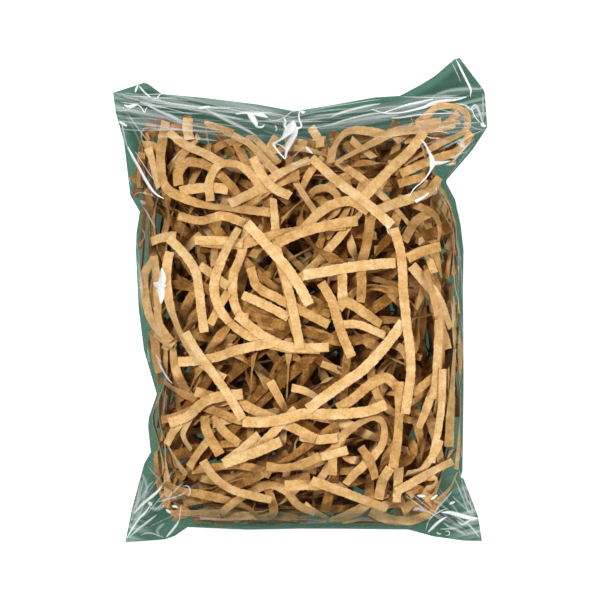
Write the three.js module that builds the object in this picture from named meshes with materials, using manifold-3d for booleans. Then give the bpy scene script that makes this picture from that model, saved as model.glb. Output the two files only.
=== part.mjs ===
// Bag of shredded kraft paper. A thin film bag lies on its back, filled with loose paper strips.
// Millimetres. X runs across the bag, Y from its bottom seam to its mouth, Z up from the table.
import * as THREE from "three";
import { mergeVertices } from "three/addons/utils/BufferGeometryUtils.js";
import Module from "manifold-3d";

// Film bag
const BAG_WIDTH = 169;
const BAG_LENGTH = 219;
const BAG_THICKNESS = 46;
const FILM_THICKNESS = 0.08;
const SEAM_WIDTH = 1.2;
const SIDE_HEIGHT = 17;
const CORNER_HEIGHT = 8;
const BOTTOM_SEAM_RISE = 6;
const LIP_GAP = 1.2;
const EMPTY_GAP = 0.5;
const EMPTY_MOUTH_BAND = 13;
const EMPTY_CORNER = 15;
const SHOULDER_SIDE = 44;
const SHOULDER_BOTTOM = 44;
const SHOULDER_MOUTH = 62;
const SHOULDER_CORNER = 34;
const BACK_SHOULDER = 0.45;
const GRID_ACROSS = 18;
const GRID_ALONG = 24;

// Paper strips
const STRIP_WIDTH = 5;
const PAPER_THICKNESS = 0.15;
const CLEARANCE = 0.3;
const STATION_SPACING = 9;
const STEEPEST_SLOPE = 0.9;
const STEEPEST_LEAN = 0.8;
const TIGHTEST_BEND = 24;
const BACK_STRIPS = 8;
const BACK_STRIP_LENGTH = 95;
const TANGLES = 4;
const TANGLE_STRIPS = 12;
const TANGLE_STRIP_LENGTH = 100;
const TANGLE_STATION_SPACING = 16;
const TANGLE_GAP = 3;
const TANGLE_WAVE = [1.5, 3.5];
const TANGLE_WAVE_LENGTH = 88;
const TANGLE_BEND = 100;
const TANGLE_ROLL = [0.3, 0.8];
const TANGLE_TRIES = 6000;

// Cell of the height maps that strips are laid against
const CELL = 0.5;

const COLOURS = { paper: 0xdcb483, film: 0x5f8f7c };

const HALF_WIDTH = BAG_WIDTH / 2;
const HALF_LENGTH = BAG_LENGTH / 2;

// How far the filling pulls each edge in from the flat bag's rectangle. Each point is its place along the edge,
// from -1 to 1, and the pull as a share of the half width.
const LEFT_PULL = [
  [-1, 0.065], [-0.86, 0.103], [-0.672, 0.17], [-0.625, 0.205], [-0.52, 0.191], [-0.483, 0.195],
  [-0.386, 0.238], [-0.205, 0.17], [-0.035, 0.142], [0.202, 0.127], [0.279, 0.13], [0.362, 0.147],
  [0.43, 0.096], [0.656, 0.06], [0.766, 0.017], [0.855, 0],
];
const RIGHT_PULL = [
  [-0.995, 0.027], [-0.892, 0.049], [-0.736, 0.127], [-0.728, 0.144], [-0.703, 0.134], [-0.329, 0.13],
  [0.046, 0.134], [0.201, 0.13], [0.306, 0.144], [0.411, 0.173], [0.488, 0.225], [0.618, 0.08], [0.712, 0],
  [0.851, 0.012], [0.868, 0.018],
];
const BOTTOM_PULL = [
  [-0.935, 0], [-0.721, 0.018], [-0.666, 0.038], [-0.599, 0.085], [-0.283, 0.072], [0, 0.078],
  [0.24, 0.077], [0.578, 0.072], [0.714, 0.034], [0.87, 0.011], [0.973, 0.007],
];
const FRONT_LIP_PULL = [
  [-1, 0.188], [-0.741, 0.191], [-0.507, 0.209], [-0.341, 0.232], [-0.219, 0.245], [-0.027, 0.278],
  [0.181, 0.245], [0.4, 0.206], [0.533, 0.199], [0.746, 0.199], [0.905, 0.204], [0.982, 0.171],
];
const BACK_LIP_PULL = [
  [-1, 0.188], [-0.838, 0.134], [-0.815, 0.137], [-0.741, 0.193], [-0.507, 0.215], [-0.219, 0.251],
  [-0.027, 0.284], [0.181, 0.251], [0.4, 0.212], [0.533, 0.204], [0.646, 0.144], [0.72, 0.098],
  [0.826, 0.007], [0.854, 0], [0.915, 0.083], [0.982, 0.171],
];

// Creases of the film: from and to, as shares of the half width and half length, with height and half width as
// shares of the half width. A negative height is a dent.
const FOLDS = [
  { from: [-0.02, 0.79], to: [-0.07, 0.58], height: -0.053, width: 0.107 },
  { from: [-0.99, 0.85], to: [-0.3, 0.72], height: 0.019, width: 0.059 },
  { from: [0.9, 0.83], to: [0, 0.7], height: 0.019, width: 0.059 },
  { from: [0.68, 0.54], to: [0.48, 0.31], height: 0.024, width: 0.059 },
  { from: [0.9, 0.68], to: [0.68, 0.54], height: 0.021, width: 0.059 },
  { from: [-0.93, 0.66], to: [-0.69, 0.41], height: 0.021, width: 0.047 },
  { from: [-0.92, -0.99], to: [-0.72, -0.78], height: 0.026, width: 0.059 },
  { from: [-0.92, -0.99], to: [-0.55, -0.86], height: 0.017, width: 0.047 },
  { from: [0.95, -0.9], to: [0.72, -0.86], height: 0.024, width: 0.047 },
  { from: [0.66, -0.96], to: [0.8, -0.83], height: 0.019, width: 0.047 },
  { from: [-0.76, -0.39], to: [-0.6, -0.36], height: -0.024, width: 0.071 },
];

// Strips against the front of the bag, topmost first. Points are shares of the half width and half length, and roll
// is how far the strip is turned about its own length, in degrees.
const FRONT_STRIPS = [
  { points: [[0.06, 0.58], [0.2, 0.48], [0.35, 0.39], [0.48, 0.3]] },
  { points: [[0.49, 0.29], [0.53, 0.18], [0.54, 0.04], [0.56, -0.11], [0.58, -0.27], [0.55, -0.46]] },
  { points: [[-0.28, 0.31], [-0.16, 0.21], [-0.04, 0.1], [0.05, -0.02]] },
  { points: [[-0.69, 0.25], [-0.6, 0.18], [-0.54, 0.1], [-0.52, -0.02], [-0.5, -0.13]] },
  { points: [[-0.6, -0.13], [-0.52, -0.23], [-0.44, -0.31], [-0.37, -0.39], [-0.3, -0.48]] },
  { points: [[0.54, -0.09], [0.44, -0.19], [0.33, -0.28], [0.2, -0.35], [0.04, -0.44]] },
  { points: [[-0.3, -0.49], [-0.14, -0.49], [0, -0.46], [0.16, -0.46], [0.34, -0.45], [0.45, -0.42]] },
  { points: [[0.06, -0.73], [0.2, -0.77], [0.36, -0.82], [0.46, -0.85]] },
  { points: [[-0.51, -0.65], [-0.42, -0.74], [-0.31, -0.78], [-0.15, -0.81]] },
  { points: [[-0.4, -0.66], [-0.25, -0.62], [-0.1, -0.57]] },
  { points: [[-0.31, -0.64], [-0.2, -0.58], [-0.1, -0.5], [-0.02, -0.44]] },
  { points: [[-0.69, -0.5], [-0.56, -0.46], [-0.48, -0.4], [-0.3, -0.38]] },
  { points: [[-0.55, -0.37], [-0.42, -0.4], [-0.3, -0.42], [-0.2, -0.46], [-0.05, -0.51], [0.08, -0.56]] },
  { points: [[-0.25, 0.58], [-0.21, 0.52], [-0.15, 0.46], [-0.05, 0.42]] },
  { points: [[-0.47, 0.4], [-0.47, 0.51], [-0.38, 0.56], [-0.27, 0.52], [-0.19, 0.43]] },
  { points: [[-0.37, 0.39], [-0.22, 0.45], [-0.1, 0.52], [0.05, 0.57]] },
  { points: [[-0.38, 0.72], [-0.32, 0.71], [-0.26, 0.66], [-0.18, 0.59], [-0.1, 0.53]] },
  { points: [[0.66, 0.69], [0.62, 0.64], [0.46, 0.52], [0.34, 0.42]] },
  { points: [[0.55, 0.72], [0.72, 0.73], [0.86, 0.75]] },
  { points: [[0.59, 0.53], [0.75, 0.58], [0.9, 0.62], [1.04, 0.67], [1.09, 0.74]] },
  { points: [[0.6, 0.58], [0.74, 0.63], [0.87, 0.67], [0.98, 0.71], [1.03, 0.78]] },
  { points: [[0.19, 0.56], [0.38, 0.64], [0.5, 0.69], [0.62, 0.7]], roll: 35 },
  { points: [[0.16, 0.57], [0.22, 0.69], [0.34, 0.71], [0.47, 0.69]], roll: 30 },
  { points: [[0.11, 0.07], [0.17, -0.01], [0.21, -0.12], [0.27, -0.23]] },
  { points: [[0.02, 0.1], [0.17, 0.12], [0.34, 0.14], [0.5, 0.15]] },
  { points: [[-0.12, 0.23], [0, 0.27], [0.14, 0.3], [0.3, 0.32]] },
  { points: [[0, 0.27], [0.13, 0.37], [0.26, 0.4], [0.36, 0.36]], roll: 20 },
  { points: [[-0.13, 0.22], [-0.08, 0.1], [-0.03, -0.06], [0, -0.2]] },
  { points: [[-0.26, 0.13], [-0.23, 0.06], [-0.1, 0], [0.05, -0.06], [0.15, -0.1]], roll: 15 },
  { points: [[-0.3, 0.02], [-0.18, -0.02], [-0.06, -0.07]] },
  { points: [[-0.33, -0.06], [-0.2, -0.14], [-0.05, -0.19], [0.15, -0.19]] },
  { points: [[-0.32, 0.29], [-0.4, 0.18], [-0.45, 0.06], [-0.43, -0.02], [-0.37, -0.09]], roll: -35 },
  { points: [[-0.55, 0.24], [-0.42, 0.24], [-0.3, 0.23]] },
  { points: [[-0.77, 0.18], [-0.75, 0.04], [-0.75, -0.08], [-0.68, -0.17]] },
  { points: [[-0.64, 0.34], [-0.54, 0.32], [-0.41, 0.34], [-0.29, 0.31]], roll: 25 },
  { points: [[-0.34, 0.65], [-0.28, 0.69], [-0.19, 0.63], [-0.12, 0.57]], roll: 20 },
  { points: [[-0.7, 0.69], [-0.62, 0.64], [-0.51, 0.6], [-0.4, 0.55]] },
  { points: [[-0.55, 0.61], [-0.42, 0.57], [-0.3, 0.53], [-0.14, 0.55]], roll: 15 },
  { points: [[0.81, -0.66], [0.68, -0.71], [0.5, -0.78]] },
  { points: [[0.75, -0.28], [0.74, -0.46], [0.69, -0.66]] },
  { points: [[0.82, -0.2], [0.8, -0.42], [0.79, -0.6]], roll: 25 },
  { points: [[0.73, -0.08], [0.72, -0.28], [0.7, -0.4]] },
  { points: [[0.66, 0.12], [0.72, -0.04], [0.78, -0.2]], roll: 30 },
  { points: [[0.16, -0.9], [0.3, -0.86], [0.38, -0.81]], roll: -15 },
  { points: [[-0.08, -0.75], [0.05, -0.75], [0.2, -0.76]], roll: 20 },
  { points: [[-0.42, -0.87], [-0.28, -0.79], [-0.12, -0.75], [-0.02, -0.83], [0.08, -0.87]] },
  { points: [[-0.64, -0.25], [-0.48, -0.24], [-0.32, -0.2], [-0.13, -0.17]] },
];

// Seeded random numbers, so that the tangle is the same each time
function seeded(seed) {
  let state = seed;
  return () => {
    state = (state + 0x6d2b79f5) | 0;
    let mixed = Math.imul(state ^ (state >>> 15), 1 | state);
    mixed = (mixed + Math.imul(mixed ^ (mixed >>> 7), 61 | mixed)) ^ mixed;
    return ((mixed ^ (mixed >>> 14)) >>> 0) / 4294967296;
  };
}

// The outline of the bag
const leftEdge = LEFT_PULL.map(([share, pull]) => [(pull - 1) * HALF_WIDTH, share * HALF_LENGTH]);
const rightEdge = RIGHT_PULL.map(([share, pull]) => [(1 - pull) * HALF_WIDTH, share * HALF_LENGTH]);
const bottomEdge = BOTTOM_PULL.map(([share, pull]) => [share * HALF_WIDTH, pull * HALF_WIDTH - HALF_LENGTH]);
const frontLip = FRONT_LIP_PULL.map(([share, pull]) => [share * HALF_WIDTH, HALF_LENGTH - pull * HALF_WIDTH]);
const backLip = BACK_LIP_PULL.map(([share, pull]) => [share * HALF_WIDTH, HALF_LENGTH - pull * HALF_WIDTH]);
// The bottom seam and both lips end on the side edges.
bottomEdge[0] = leftEdge[0];
bottomEdge[bottomEdge.length - 1] = rightEdge[0];
for (const lip of [frontLip, backLip]) {
  lip[0] = leftEdge[leftEdge.length - 1];
  lip[lip.length - 1] = rightEdge[rightEdge.length - 1];
}

// A polyline cut into the given number of pieces, with all its own points kept
function resampled(line, pieces) {
  const counts = Array(line.length - 1).fill(1);
  const spans = counts.map((_, i) => Math.hypot(line[i + 1][0] - line[i][0], line[i + 1][1] - line[i][1]));
  for (let left = pieces - counts.length; left > 0; left--) {
    let longest = 0;
    spans.forEach((span, i) => {
      if (span / counts[i] > spans[longest] / counts[longest]) longest = i;
    });
    counts[longest]++;
  }
  const points = [line[0]];
  counts.forEach((count, i) => {
    for (let k = 1; k <= count; k++) {
      const share = k / count;
      points.push([
        line[i][0] + (line[i + 1][0] - line[i][0]) * share,
        line[i][1] + (line[i + 1][1] - line[i][1]) * share,
      ]);
    }
  });
  return points;
}

// The value of a polyline's coordinate `to` where its coordinate `by` has the given value
function across(line, by, to, value) {
  const last = line.length - 1;
  if (value <= line[0][by]) return line[0][to];
  if (value >= line[last][by]) return line[last][to];
  const i = line.findIndex((point) => point[by] > value);
  const share = (value - line[i - 1][by]) / (line[i][by] - line[i - 1][by]);
  return line[i - 1][to] + (line[i][to] - line[i - 1][to]) * share;
}

const quarterRound = (distance, radius) => {
  const left = 1 - THREE.MathUtils.clamp(distance / radius, 0, 1);
  return Math.sqrt(1 - left * left);
};

// How full the bag is at a point, from 0 where the sheets lie together to 1. Shoulders are scaled by `tight`.
function fullness(x, y, tight) {
  const side = Math.min(x - across(leftEdge, 1, 0, y), across(rightEdge, 1, 0, y) - x);
  const bottom = y - across(bottomEdge, 0, 1, x);
  const mouth = across(frontLip, 0, 1, x) - EMPTY_MOUTH_BAND - y;
  const corner = (Math.max(side, 0) + Math.max(Math.min(bottom, mouth + EMPTY_MOUTH_BAND), 0)) / Math.SQRT2;
  return (
    quarterRound(side, SHOULDER_SIDE * tight) *
    quarterRound(bottom, SHOULDER_BOTTOM * tight) *
    quarterRound(mouth, SHOULDER_MOUTH * tight) *
    quarterRound(corner - EMPTY_CORNER, SHOULDER_CORNER * tight)
  );
}

// Height of the film's edge, and of the two sheets where they lie together
function edgeHeight(x, y) {
  const along = THREE.MathUtils.clamp((y + HALF_LENGTH) / (HALF_LENGTH + frontLip[0][1]), 0, 1);
  const sideways = THREE.MathUtils.clamp((x + HALF_WIDTH) / BAG_WIDTH, 0, 1);
  return (
    CORNER_HEIGHT +
    (SIDE_HEIGHT - CORNER_HEIGHT) * Math.sin(Math.PI * along) +
    BOTTOM_SEAM_RISE * Math.sin(Math.PI * sideways) * (1 - along) ** 4
  );
}

function foldHeight(x, y) {
  let height = 0;
  for (const fold of FOLDS) {
    const [ax, ay] = [fold.from[0] * HALF_WIDTH, fold.from[1] * HALF_LENGTH];
    const [bx, by] = [fold.to[0] * HALF_WIDTH, fold.to[1] * HALF_LENGTH];
    const length = (bx - ax) ** 2 + (by - ay) ** 2;
    const share = THREE.MathUtils.clamp(((x - ax) * (bx - ax) + (y - ay) * (by - ay)) / length, 0, 1);
    const away = Math.hypot(x - ax - (bx - ax) * share, y - ay - (by - ay) * share) / (fold.width * HALF_WIDTH);
    if (away < 1) height += fold.height * HALF_WIDTH * (1 - away * away) ** 2;
  }
  return height;
}

// Half the distance between the outer faces of the two sheets where the bag is empty
function emptyHalf(x, y) {
  const mouth = across(frontLip, 0, 1, x) - y;
  const open = THREE.MathUtils.clamp(1 - mouth / (2 * EMPTY_MOUTH_BAND), 0, 1);
  return (EMPTY_GAP + (LIP_GAP - EMPTY_GAP) * open) / 2 + FILM_THICKNESS;
}

function frontHeight(x, y) {
  const low = edgeHeight(x, y) + emptyHalf(x, y);
  return low + (BAG_THICKNESS - low) * fullness(x, y, 1) + foldHeight(x, y);
}

function backHeight(x, y) {
  const full = fullness(x, y, BACK_SHOULDER);
  return (edgeHeight(x, y) - emptyHalf(x, y) + foldHeight(x, y)) * (1 - full);
}

// One sheet's grid of plan points, between the side edges, the bottom seam and its own lip
function sheetGrid(lip) {
  const left = resampled(leftEdge, GRID_ALONG);
  const right = resampled(rightEdge, GRID_ALONG);
  const bottom = resampled(bottomEdge, GRID_ACROSS);
  const top = resampled(lip, GRID_ACROSS);
  const corners = [left[0], right[0], left[GRID_ALONG], right[GRID_ALONG]];
  const rows = [];
  for (let j = 0; j <= GRID_ALONG; j++) {
    const v = j / GRID_ALONG;
    rows.push(
      bottom.map((_, i) => {
        const u = i / GRID_ACROSS;
        return [0, 1].map(
          (k) =>
            (1 - v) * bottom[i][k] + v * top[i][k] + (1 - u) * left[j][k] + u * right[j][k] -
            (1 - v) * ((1 - u) * corners[0][k] + u * corners[1][k]) -
            v * ((1 - u) * corners[2][k] + u * corners[3][k]),
        );
      }),
    );
  }
  return rows;
}

// A sheet's outer and inner faces as rows of points. On the side and bottom edges the outer faces of both sheets meet,
// and the inner faces meet a seam's width inside them.
function sheetFaces(lip, height, sign) {
  const grid = sheetGrid(lip);
  const onEdge = (i, j) => i === 0 || i === GRID_ACROSS || j === 0;
  const outer = grid.map((row, j) =>
    row.map(([x, y], i) => new THREE.Vector3(x, y, onEdge(i, j) ? edgeHeight(x, y) : height(x, y))),
  );
  const inner = outer.map((row, j) =>
    row.map((point, i) => {
      if (onEdge(i, j)) return point.clone();
      const here = point.z;
      const slopeX = height(point.x + CELL, point.y) - here;
      const slopeY = height(point.x, point.y + CELL) - here;
      const steep = Math.min(Math.hypot(1, slopeX / CELL, slopeY / CELL), 3);
      return new THREE.Vector3(point.x, point.y, here - sign * FILM_THICKNESS * steep);
    }),
  );
  return { outer, inner };
}

// Moves the inner faces' edge points in by the seam's width, to the middle of the bag's thickness there
function insetSeam(front, back) {
  for (let j = 0; j <= GRID_ALONG; j++)
    for (let i = 0; i <= GRID_ACROSS; i++) {
      const [ni, nj] = [THREE.MathUtils.clamp(i, 1, GRID_ACROSS - 1), Math.max(j, 1)];
      if (ni === i && nj === j) continue;
      const edge = front.outer[j][i];
      const middle = front.outer[nj][ni].clone().add(back.outer[nj][ni]).multiplyScalar(0.5);
      const share = Math.min(SEAM_WIDTH / Math.hypot(middle.x - edge.x, middle.y - edge.y), 0.5);
      front.inner[j][i].lerpVectors(edge, middle, share);
      back.inner[j][i].copy(front.inner[j][i]);
    }
}

// Two triangles for each cell of a grid. The last cell of the first row is cut the other way, because there the two
// sheets share both sides of the corner, and its tip would have no thickness.
function facesOf(rows, flip) {
  const triangles = [];
  for (let j = 0; j + 1 < rows.length; j++)
    for (let i = 0; i + 1 < rows[j].length; i++) {
      const [a, b, c, d] = [rows[j][i], rows[j][i + 1], rows[j + 1][i + 1], rows[j + 1][i]];
      const cell = j === 0 && i + 2 === rows[j].length ? [[a, b, d], [b, c, d]] : [[a, b, c], [a, c, d]];
      triangles.push(...(flip ? cell.map(([p, q, r]) => [p, r, q]) : cell));
    }
  return triangles;
}

function geometryOf(triangles) {
  const flat = new THREE.BufferGeometry();
  const numbers = triangles.flatMap((triangle) => triangle.flatMap((point) => [point.x, point.y, point.z]));
  flat.setAttribute("position", new THREE.Float32BufferAttribute(numbers, 3));
  const merged = mergeVertices(flat, 1e-4);
  merged.computeVertexNormals();
  return merged;
}

const frontSheet = sheetFaces(frontLip, frontHeight, 1);
const backSheet = sheetFaces(backLip, backHeight, -1);
insetSeam(frontSheet, backSheet);

function filmBag() {
  const lipFace = (sheet, flip) => facesOf([sheet.outer[GRID_ALONG], sheet.inner[GRID_ALONG]], flip);
  return geometryOf([
    ...facesOf(frontSheet.outer, false),
    ...facesOf(frontSheet.inner, true),
    ...facesOf(backSheet.outer, true),
    ...facesOf(backSheet.inner, false),
    ...lipFace(frontSheet, false),
    ...lipFace(backSheet, true),
  ]);
}

// Height maps of the bag's inside, and of what lies in it so far
const MAP_ACROSS = Math.ceil(BAG_WIDTH / CELL) + 4;
const MAP_ALONG = Math.ceil(BAG_LENGTH / CELL) + 4;

const emptyMap = (value) => new Float64Array(MAP_ACROSS * MAP_ALONG).fill(value);

// Calls visit(cell, height) for each cell whose centre lies under a triangle
function underTriangle([a, b, c], visit) {
  const toCell = (value, half) => (value + half) / CELL + 2;
  const low = (p, q, r) => Math.max(Math.floor(Math.min(p, q, r)) - 1, 0);
  const high = (p, q, r, most) => Math.min(Math.ceil(Math.max(p, q, r)) + 1, most - 1);
  const [ax, bx, cx] = [a.x, b.x, c.x].map((value) => toCell(value, HALF_WIDTH));
  const [ay, by, cy] = [a.y, b.y, c.y].map((value) => toCell(value, HALF_LENGTH));
  const area = (bx - ax) * (cy - ay) - (cx - ax) * (by - ay);
  if (Math.abs(area) < 1e-9) return;
  for (let row = low(ay, by, cy); row <= high(ay, by, cy, MAP_ALONG); row++)
    for (let column = low(ax, bx, cx); column <= high(ax, bx, cx, MAP_ACROSS); column++) {
      const shareB = ((column - ax) * (cy - ay) - (cx - ax) * (row - ay)) / area;
      const shareC = ((bx - ax) * (row - ay) - (column - ax) * (by - ay)) / area;
      if (shareB < 0 || shareC < 0 || shareB + shareC > 1) continue;
      visit(row * MAP_ACROSS + column, a.z + shareB * (b.z - a.z) + shareC * (c.z - a.z));
    }
}

// Writes triangles into a map, each cell's value also into the cells around it
function stamp(map, triangles, pick) {
  for (const triangle of triangles)
    underTriangle(triangle, (cell, height) => {
      for (const near of [-MAP_ACROSS, 0, MAP_ACROSS])
        for (const beside of [-1, 0, 1]) map[cell + near + beside] = pick(map[cell + near + beside], height);
    });
}

// The space left in the bag lies between the pile and the ceiling. Both start as the film's inner faces, and outside
// the bag they are swapped, so that nothing fits there.
const OUTSIDE = 4 * BAG_THICKNESS;
const ceiling = emptyMap(OUTSIDE);
const pile = emptyMap(-OUTSIDE);
stamp(ceiling, facesOf(frontSheet.inner, false), Math.min);
stamp(pile, facesOf(backSheet.inner, false), Math.max);
ceiling.forEach((height, cell) => {
  if (height < OUTSIDE && pile[cell] > -OUTSIDE) return;
  ceiling[cell] = -OUTSIDE;
  pile[cell] = OUTSIDE;
});

// A strip is a row of stations: its middle line, with the roll about it. Its frame gives the side and face directions.
function framesOf(stations) {
  const up = new THREE.Vector3(0, 0, 1);
  return stations.map(({ place, roll }, i) => {
    const before = stations[Math.max(i - 1, 0)].place;
    const after = stations[Math.min(i + 1, stations.length - 1)].place;
    const along = after.clone().sub(before).normalize();
    const side = along.clone().cross(up).normalize();
    const face = side.clone().cross(along).normalize();
    return {
      place,
      side: side.clone().multiplyScalar(Math.cos(roll)).addScaledVector(face, Math.sin(roll)),
      face: face.clone().multiplyScalar(Math.cos(roll)).addScaledVector(side, -Math.sin(roll)),
    };
  });
}

// The four long edges of a strip, as rows of points
function edgesOf(stations) {
  const frames = framesOf(stations);
  const edge = (sideways, faceways) =>
    frames.map(({ place, side, face }) =>
      place
        .clone()
        .addScaledVector(side, (sideways * STRIP_WIDTH) / 2)
        .addScaledVector(face, (faceways * PAPER_THICKNESS) / 2),
    );
  return { topLeft: edge(-1, 1), topRight: edge(1, 1), underLeft: edge(-1, -1), underRight: edge(1, -1) };
}

const topFace = (stations) => {
  const { topLeft, topRight } = edgesOf(stations);
  return facesOf([topLeft, topRight], true);
};

const underFace = (stations) => {
  const { underLeft, underRight } = edgesOf(stations);
  return facesOf([underLeft, underRight], false);
};

function stripTriangles(stations) {
  const { topLeft, topRight, underLeft, underRight } = edgesOf(stations);
  const last = stations.length - 1;
  const endOf = (k) => [[topLeft[k], topRight[k], underRight[k]], [topLeft[k], underRight[k], underLeft[k]]];
  return [
    ...topFace(stations),
    ...underFace(stations),
    ...facesOf([topRight, underRight], true),
    ...facesOf([underLeft, topLeft], true),
    ...endOf(0).map((triangle) => triangle.toReversed()),
    ...endOf(last),
  ];
}

// A way through the bag: 1 lays strips on the pile from below, -1 presses them to the ceiling from above.
const mapFor = (way) => (way > 0 ? pile : ceiling);
const nearFace = (way, stations) => (way > 0 ? underFace(stations) : topFace(stations));
const farFace = (way, stations) => (way > 0 ? topFace(stations) : underFace(stations));

// How far a strip must move along its way to clear the map, and no more
function distanceTo(way, stations) {
  let distance = -OUTSIDE;
  for (const triangle of nearFace(way, stations))
    underTriangle(triangle, (cell, height) => {
      distance = Math.max(distance, way * (mapFor(way)[cell] - height) + CLEARANCE);
    });
  return distance;
}

const move = (stations, distance) => stations.forEach(({ place }) => place.setZ(place.z + distance));

// Whether there is room for a strip where it lies
const fits = (stations) => Math.max(distanceTo(1, stations), distanceTo(-1, stations)) < 0.1 * CLEARANCE;

// A strip's stations along a smooth curve through its given points, leaning as the film beside it does
function planStations(points, roll, shrink, surface) {
  const curve = new THREE.SplineCurve(
    points.map(([x, y]) => new THREE.Vector2(x * HALF_WIDTH * shrink, y * HALF_LENGTH * shrink)),
  );
  const pieces = Math.max(Math.round(curve.getLength() / STATION_SPACING), 3);
  const plan = curve.getSpacedPoints(pieces);
  return plan.map(({ x, y }, i) => {
    const along = plan[Math.min(i + 1, pieces)].clone().sub(plan[Math.max(i - 1, 0)]).normalize();
    const [right, left] = [1, -1].map((side) =>
      surface(x + (along.y * side * STRIP_WIDTH) / 2, y - (along.x * side * STRIP_WIDTH) / 2),
    );
    const lean = THREE.MathUtils.clamp(Math.atan((right - left) / STRIP_WIDTH), -STEEPEST_LEAN, STEEPEST_LEAN);
    const turned = THREE.MathUtils.degToRad(roll) * Math.cos((Math.PI * i) / pieces);
    return { place: new THREE.Vector3(x, y, 0), roll: lean + turned };
  });
}

// Moves each station along its way until the strip clears the map, bent no more than paper bends
function settle(way, stations) {
  const lift = stations.map(() => -OUTSIDE);
  for (let i = 0; i + 1 < stations.length; i++) {
    const wanted = distanceTo(way, stations.slice(i, i + 2)) + PAPER_THICKNESS;
    lift[i] = Math.max(lift[i], wanted);
    lift[i + 1] = Math.max(lift[i + 1], wanted);
  }
  const gap = (i, k) => Math.hypot(
    stations[k].place.x - stations[i].place.x, stations[k].place.y - stations[i].place.y);
  for (let pass = 0; pass < 2 * stations.length; pass++)
    for (let i = 0; i < stations.length; i++) {
      const [before, after] = [Math.max(i - 1, 0), Math.min(i + 1, stations.length - 1)];
      const slope = Math.max(
        lift[before] - gap(i, before) * STEEPEST_SLOPE, lift[after] - gap(i, after) * STEEPEST_SLOPE);
      const sag = (gap(i, before) * gap(i, after)) / (2 * TIGHTEST_BEND);
      const bend = before < i && i < after ? (lift[before] + lift[after]) / 2 - sag : slope;
      lift[i] = Math.max(lift[i], slope, bend);
    }
  stations.forEach(({ place }, i) => place.setZ(way * lift[i]));
  move(stations, way * distanceTo(way, stations));
}

const takeRoom = (way, stations) => stamp(mapFor(way), farFace(way, stations), way > 0 ? Math.max : Math.min);

// Lays a strip against the pile or the ceiling. One with no room is drawn in towards the middle of the bag.
function layStrip(way, points, roll = 0) {
  const surface = way > 0 ? backHeight : frontHeight;
  let stations = [];
  for (let shrink = 1; shrink > 0.3; shrink *= 0.98) {
    stations = planStations(points, roll, shrink, surface);
    settle(way, stations);
    if (fits(stations)) break;
  }
  takeRoom(way, stations);
  return stations;
}

// Strips on the back of the bag, spread over it by turns of the golden angle
function backStripPlans() {
  const random = seeded(11);
  return Array.from({ length: BACK_STRIPS }, (_, k) => {
    const turn = Math.PI * (k * 0.382 + 0.15 * random());
    const middle = [((k % 2) - 0.5) * 0.75 + 0.2 * random() - 0.1, -0.68 + (1.25 * k) / (BACK_STRIPS - 1)];
    const bend = 0.1 * (random() - 0.5);
    const reach = BACK_STRIP_LENGTH / 2;
    const step = [(Math.cos(turn) * reach) / HALF_WIDTH, (Math.sin(turn) * reach) / HALF_LENGTH];
    return [
      [middle[0] - step[0], middle[1] - step[1]],
      [middle[0] - step[1] * bend, middle[1] + step[0] * bend],
      [middle[0] + step[0], middle[1] + step[1]],
    ];
  });
}

const wasm = await Module();
wasm.setup();

function solidOf(geometry) {
  const bare = new THREE.BufferGeometry().setAttribute("position", geometry.getAttribute("position"));
  bare.setIndex(geometry.index);
  const merged = mergeVertices(bare, 1e-4);
  return new wasm.Manifold(new wasm.Mesh({
    numProp: 3,
    vertProperties: merged.attributes.position.array,
    triVerts: new Uint32Array(merged.index.array),
  }));
}

function geometryOfSolid(solid) {
  const mesh = solid.getMesh();
  const geometry = new THREE.BufferGeometry();
  geometry.setAttribute("position", new THREE.BufferAttribute(new Float32Array(mesh.vertProperties), 3));
  geometry.setIndex(new THREE.BufferAttribute(new Uint32Array(mesh.triVerts), 1));
  geometry.computeVertexNormals();
  return geometry;
}

// The heights left free at a point for a strip's middle line, within one tangle's share of the bag's depth
function freeBand(x, y, level) {
  if (Math.abs(x) > HALF_WIDTH - STRIP_WIDTH || Math.abs(y) > HALF_LENGTH - STRIP_WIDTH) return null;
  const cell = Math.round((y + HALF_LENGTH) / CELL + 2) * MAP_ACROSS + Math.round((x + HALF_WIDTH) / CELL + 2);
  const margin = STRIP_WIDTH / 2 + CLEARANCE;
  const [low, high] = [pile[cell] + margin, ceiling[cell] - margin];
  const shares = TANGLES - level;
  return high - low > STRIP_WIDTH / 2 ? [low, low + (high - low) / shares] : null;
}

const between = (random, [low, high]) => low + (high - low) * random();

// A loose strip that passes through a given point
function looseStrip(random, hook, level) {
  const half = Math.round(TANGLE_STRIP_LENGTH / TANGLE_STATION_SPACING / 2);
  const step = TANGLE_STRIP_LENGTH / 2 / half;
  const turn = 2 * Math.PI * random();
  const offset = Math.floor(between(random, [-half, half]));
  const bend = between(random, [-1, 1]) / TANGLE_BEND;
  const swing = between(random, TANGLE_WAVE);
  const phase = 2 * Math.PI * random();
  const roll = Math.sign(random() - 0.5) * between(random, TANGLE_ROLL);
  const stations = [];
  for (let k = -half; k <= half; k++) {
    const s = (k + offset) * step;
    const heading = turn + (bend * s) / 2;
    const [x, y] = [hook.x + Math.cos(heading) * s, hook.y + Math.sin(heading) * s];
    const band = freeBand(x, y, level);
    if (!band) return null;
    const along = (2 * Math.PI * s) / TANGLE_WAVE_LENGTH;
    const z = hook.z + swing * (Math.sin(along + phase) - Math.sin(phase));
    stations.push({ place: new THREE.Vector3(x, y, THREE.MathUtils.clamp(z, ...band)), roll });
  }
  return fits(stations) ? stations : null;
}

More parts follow.
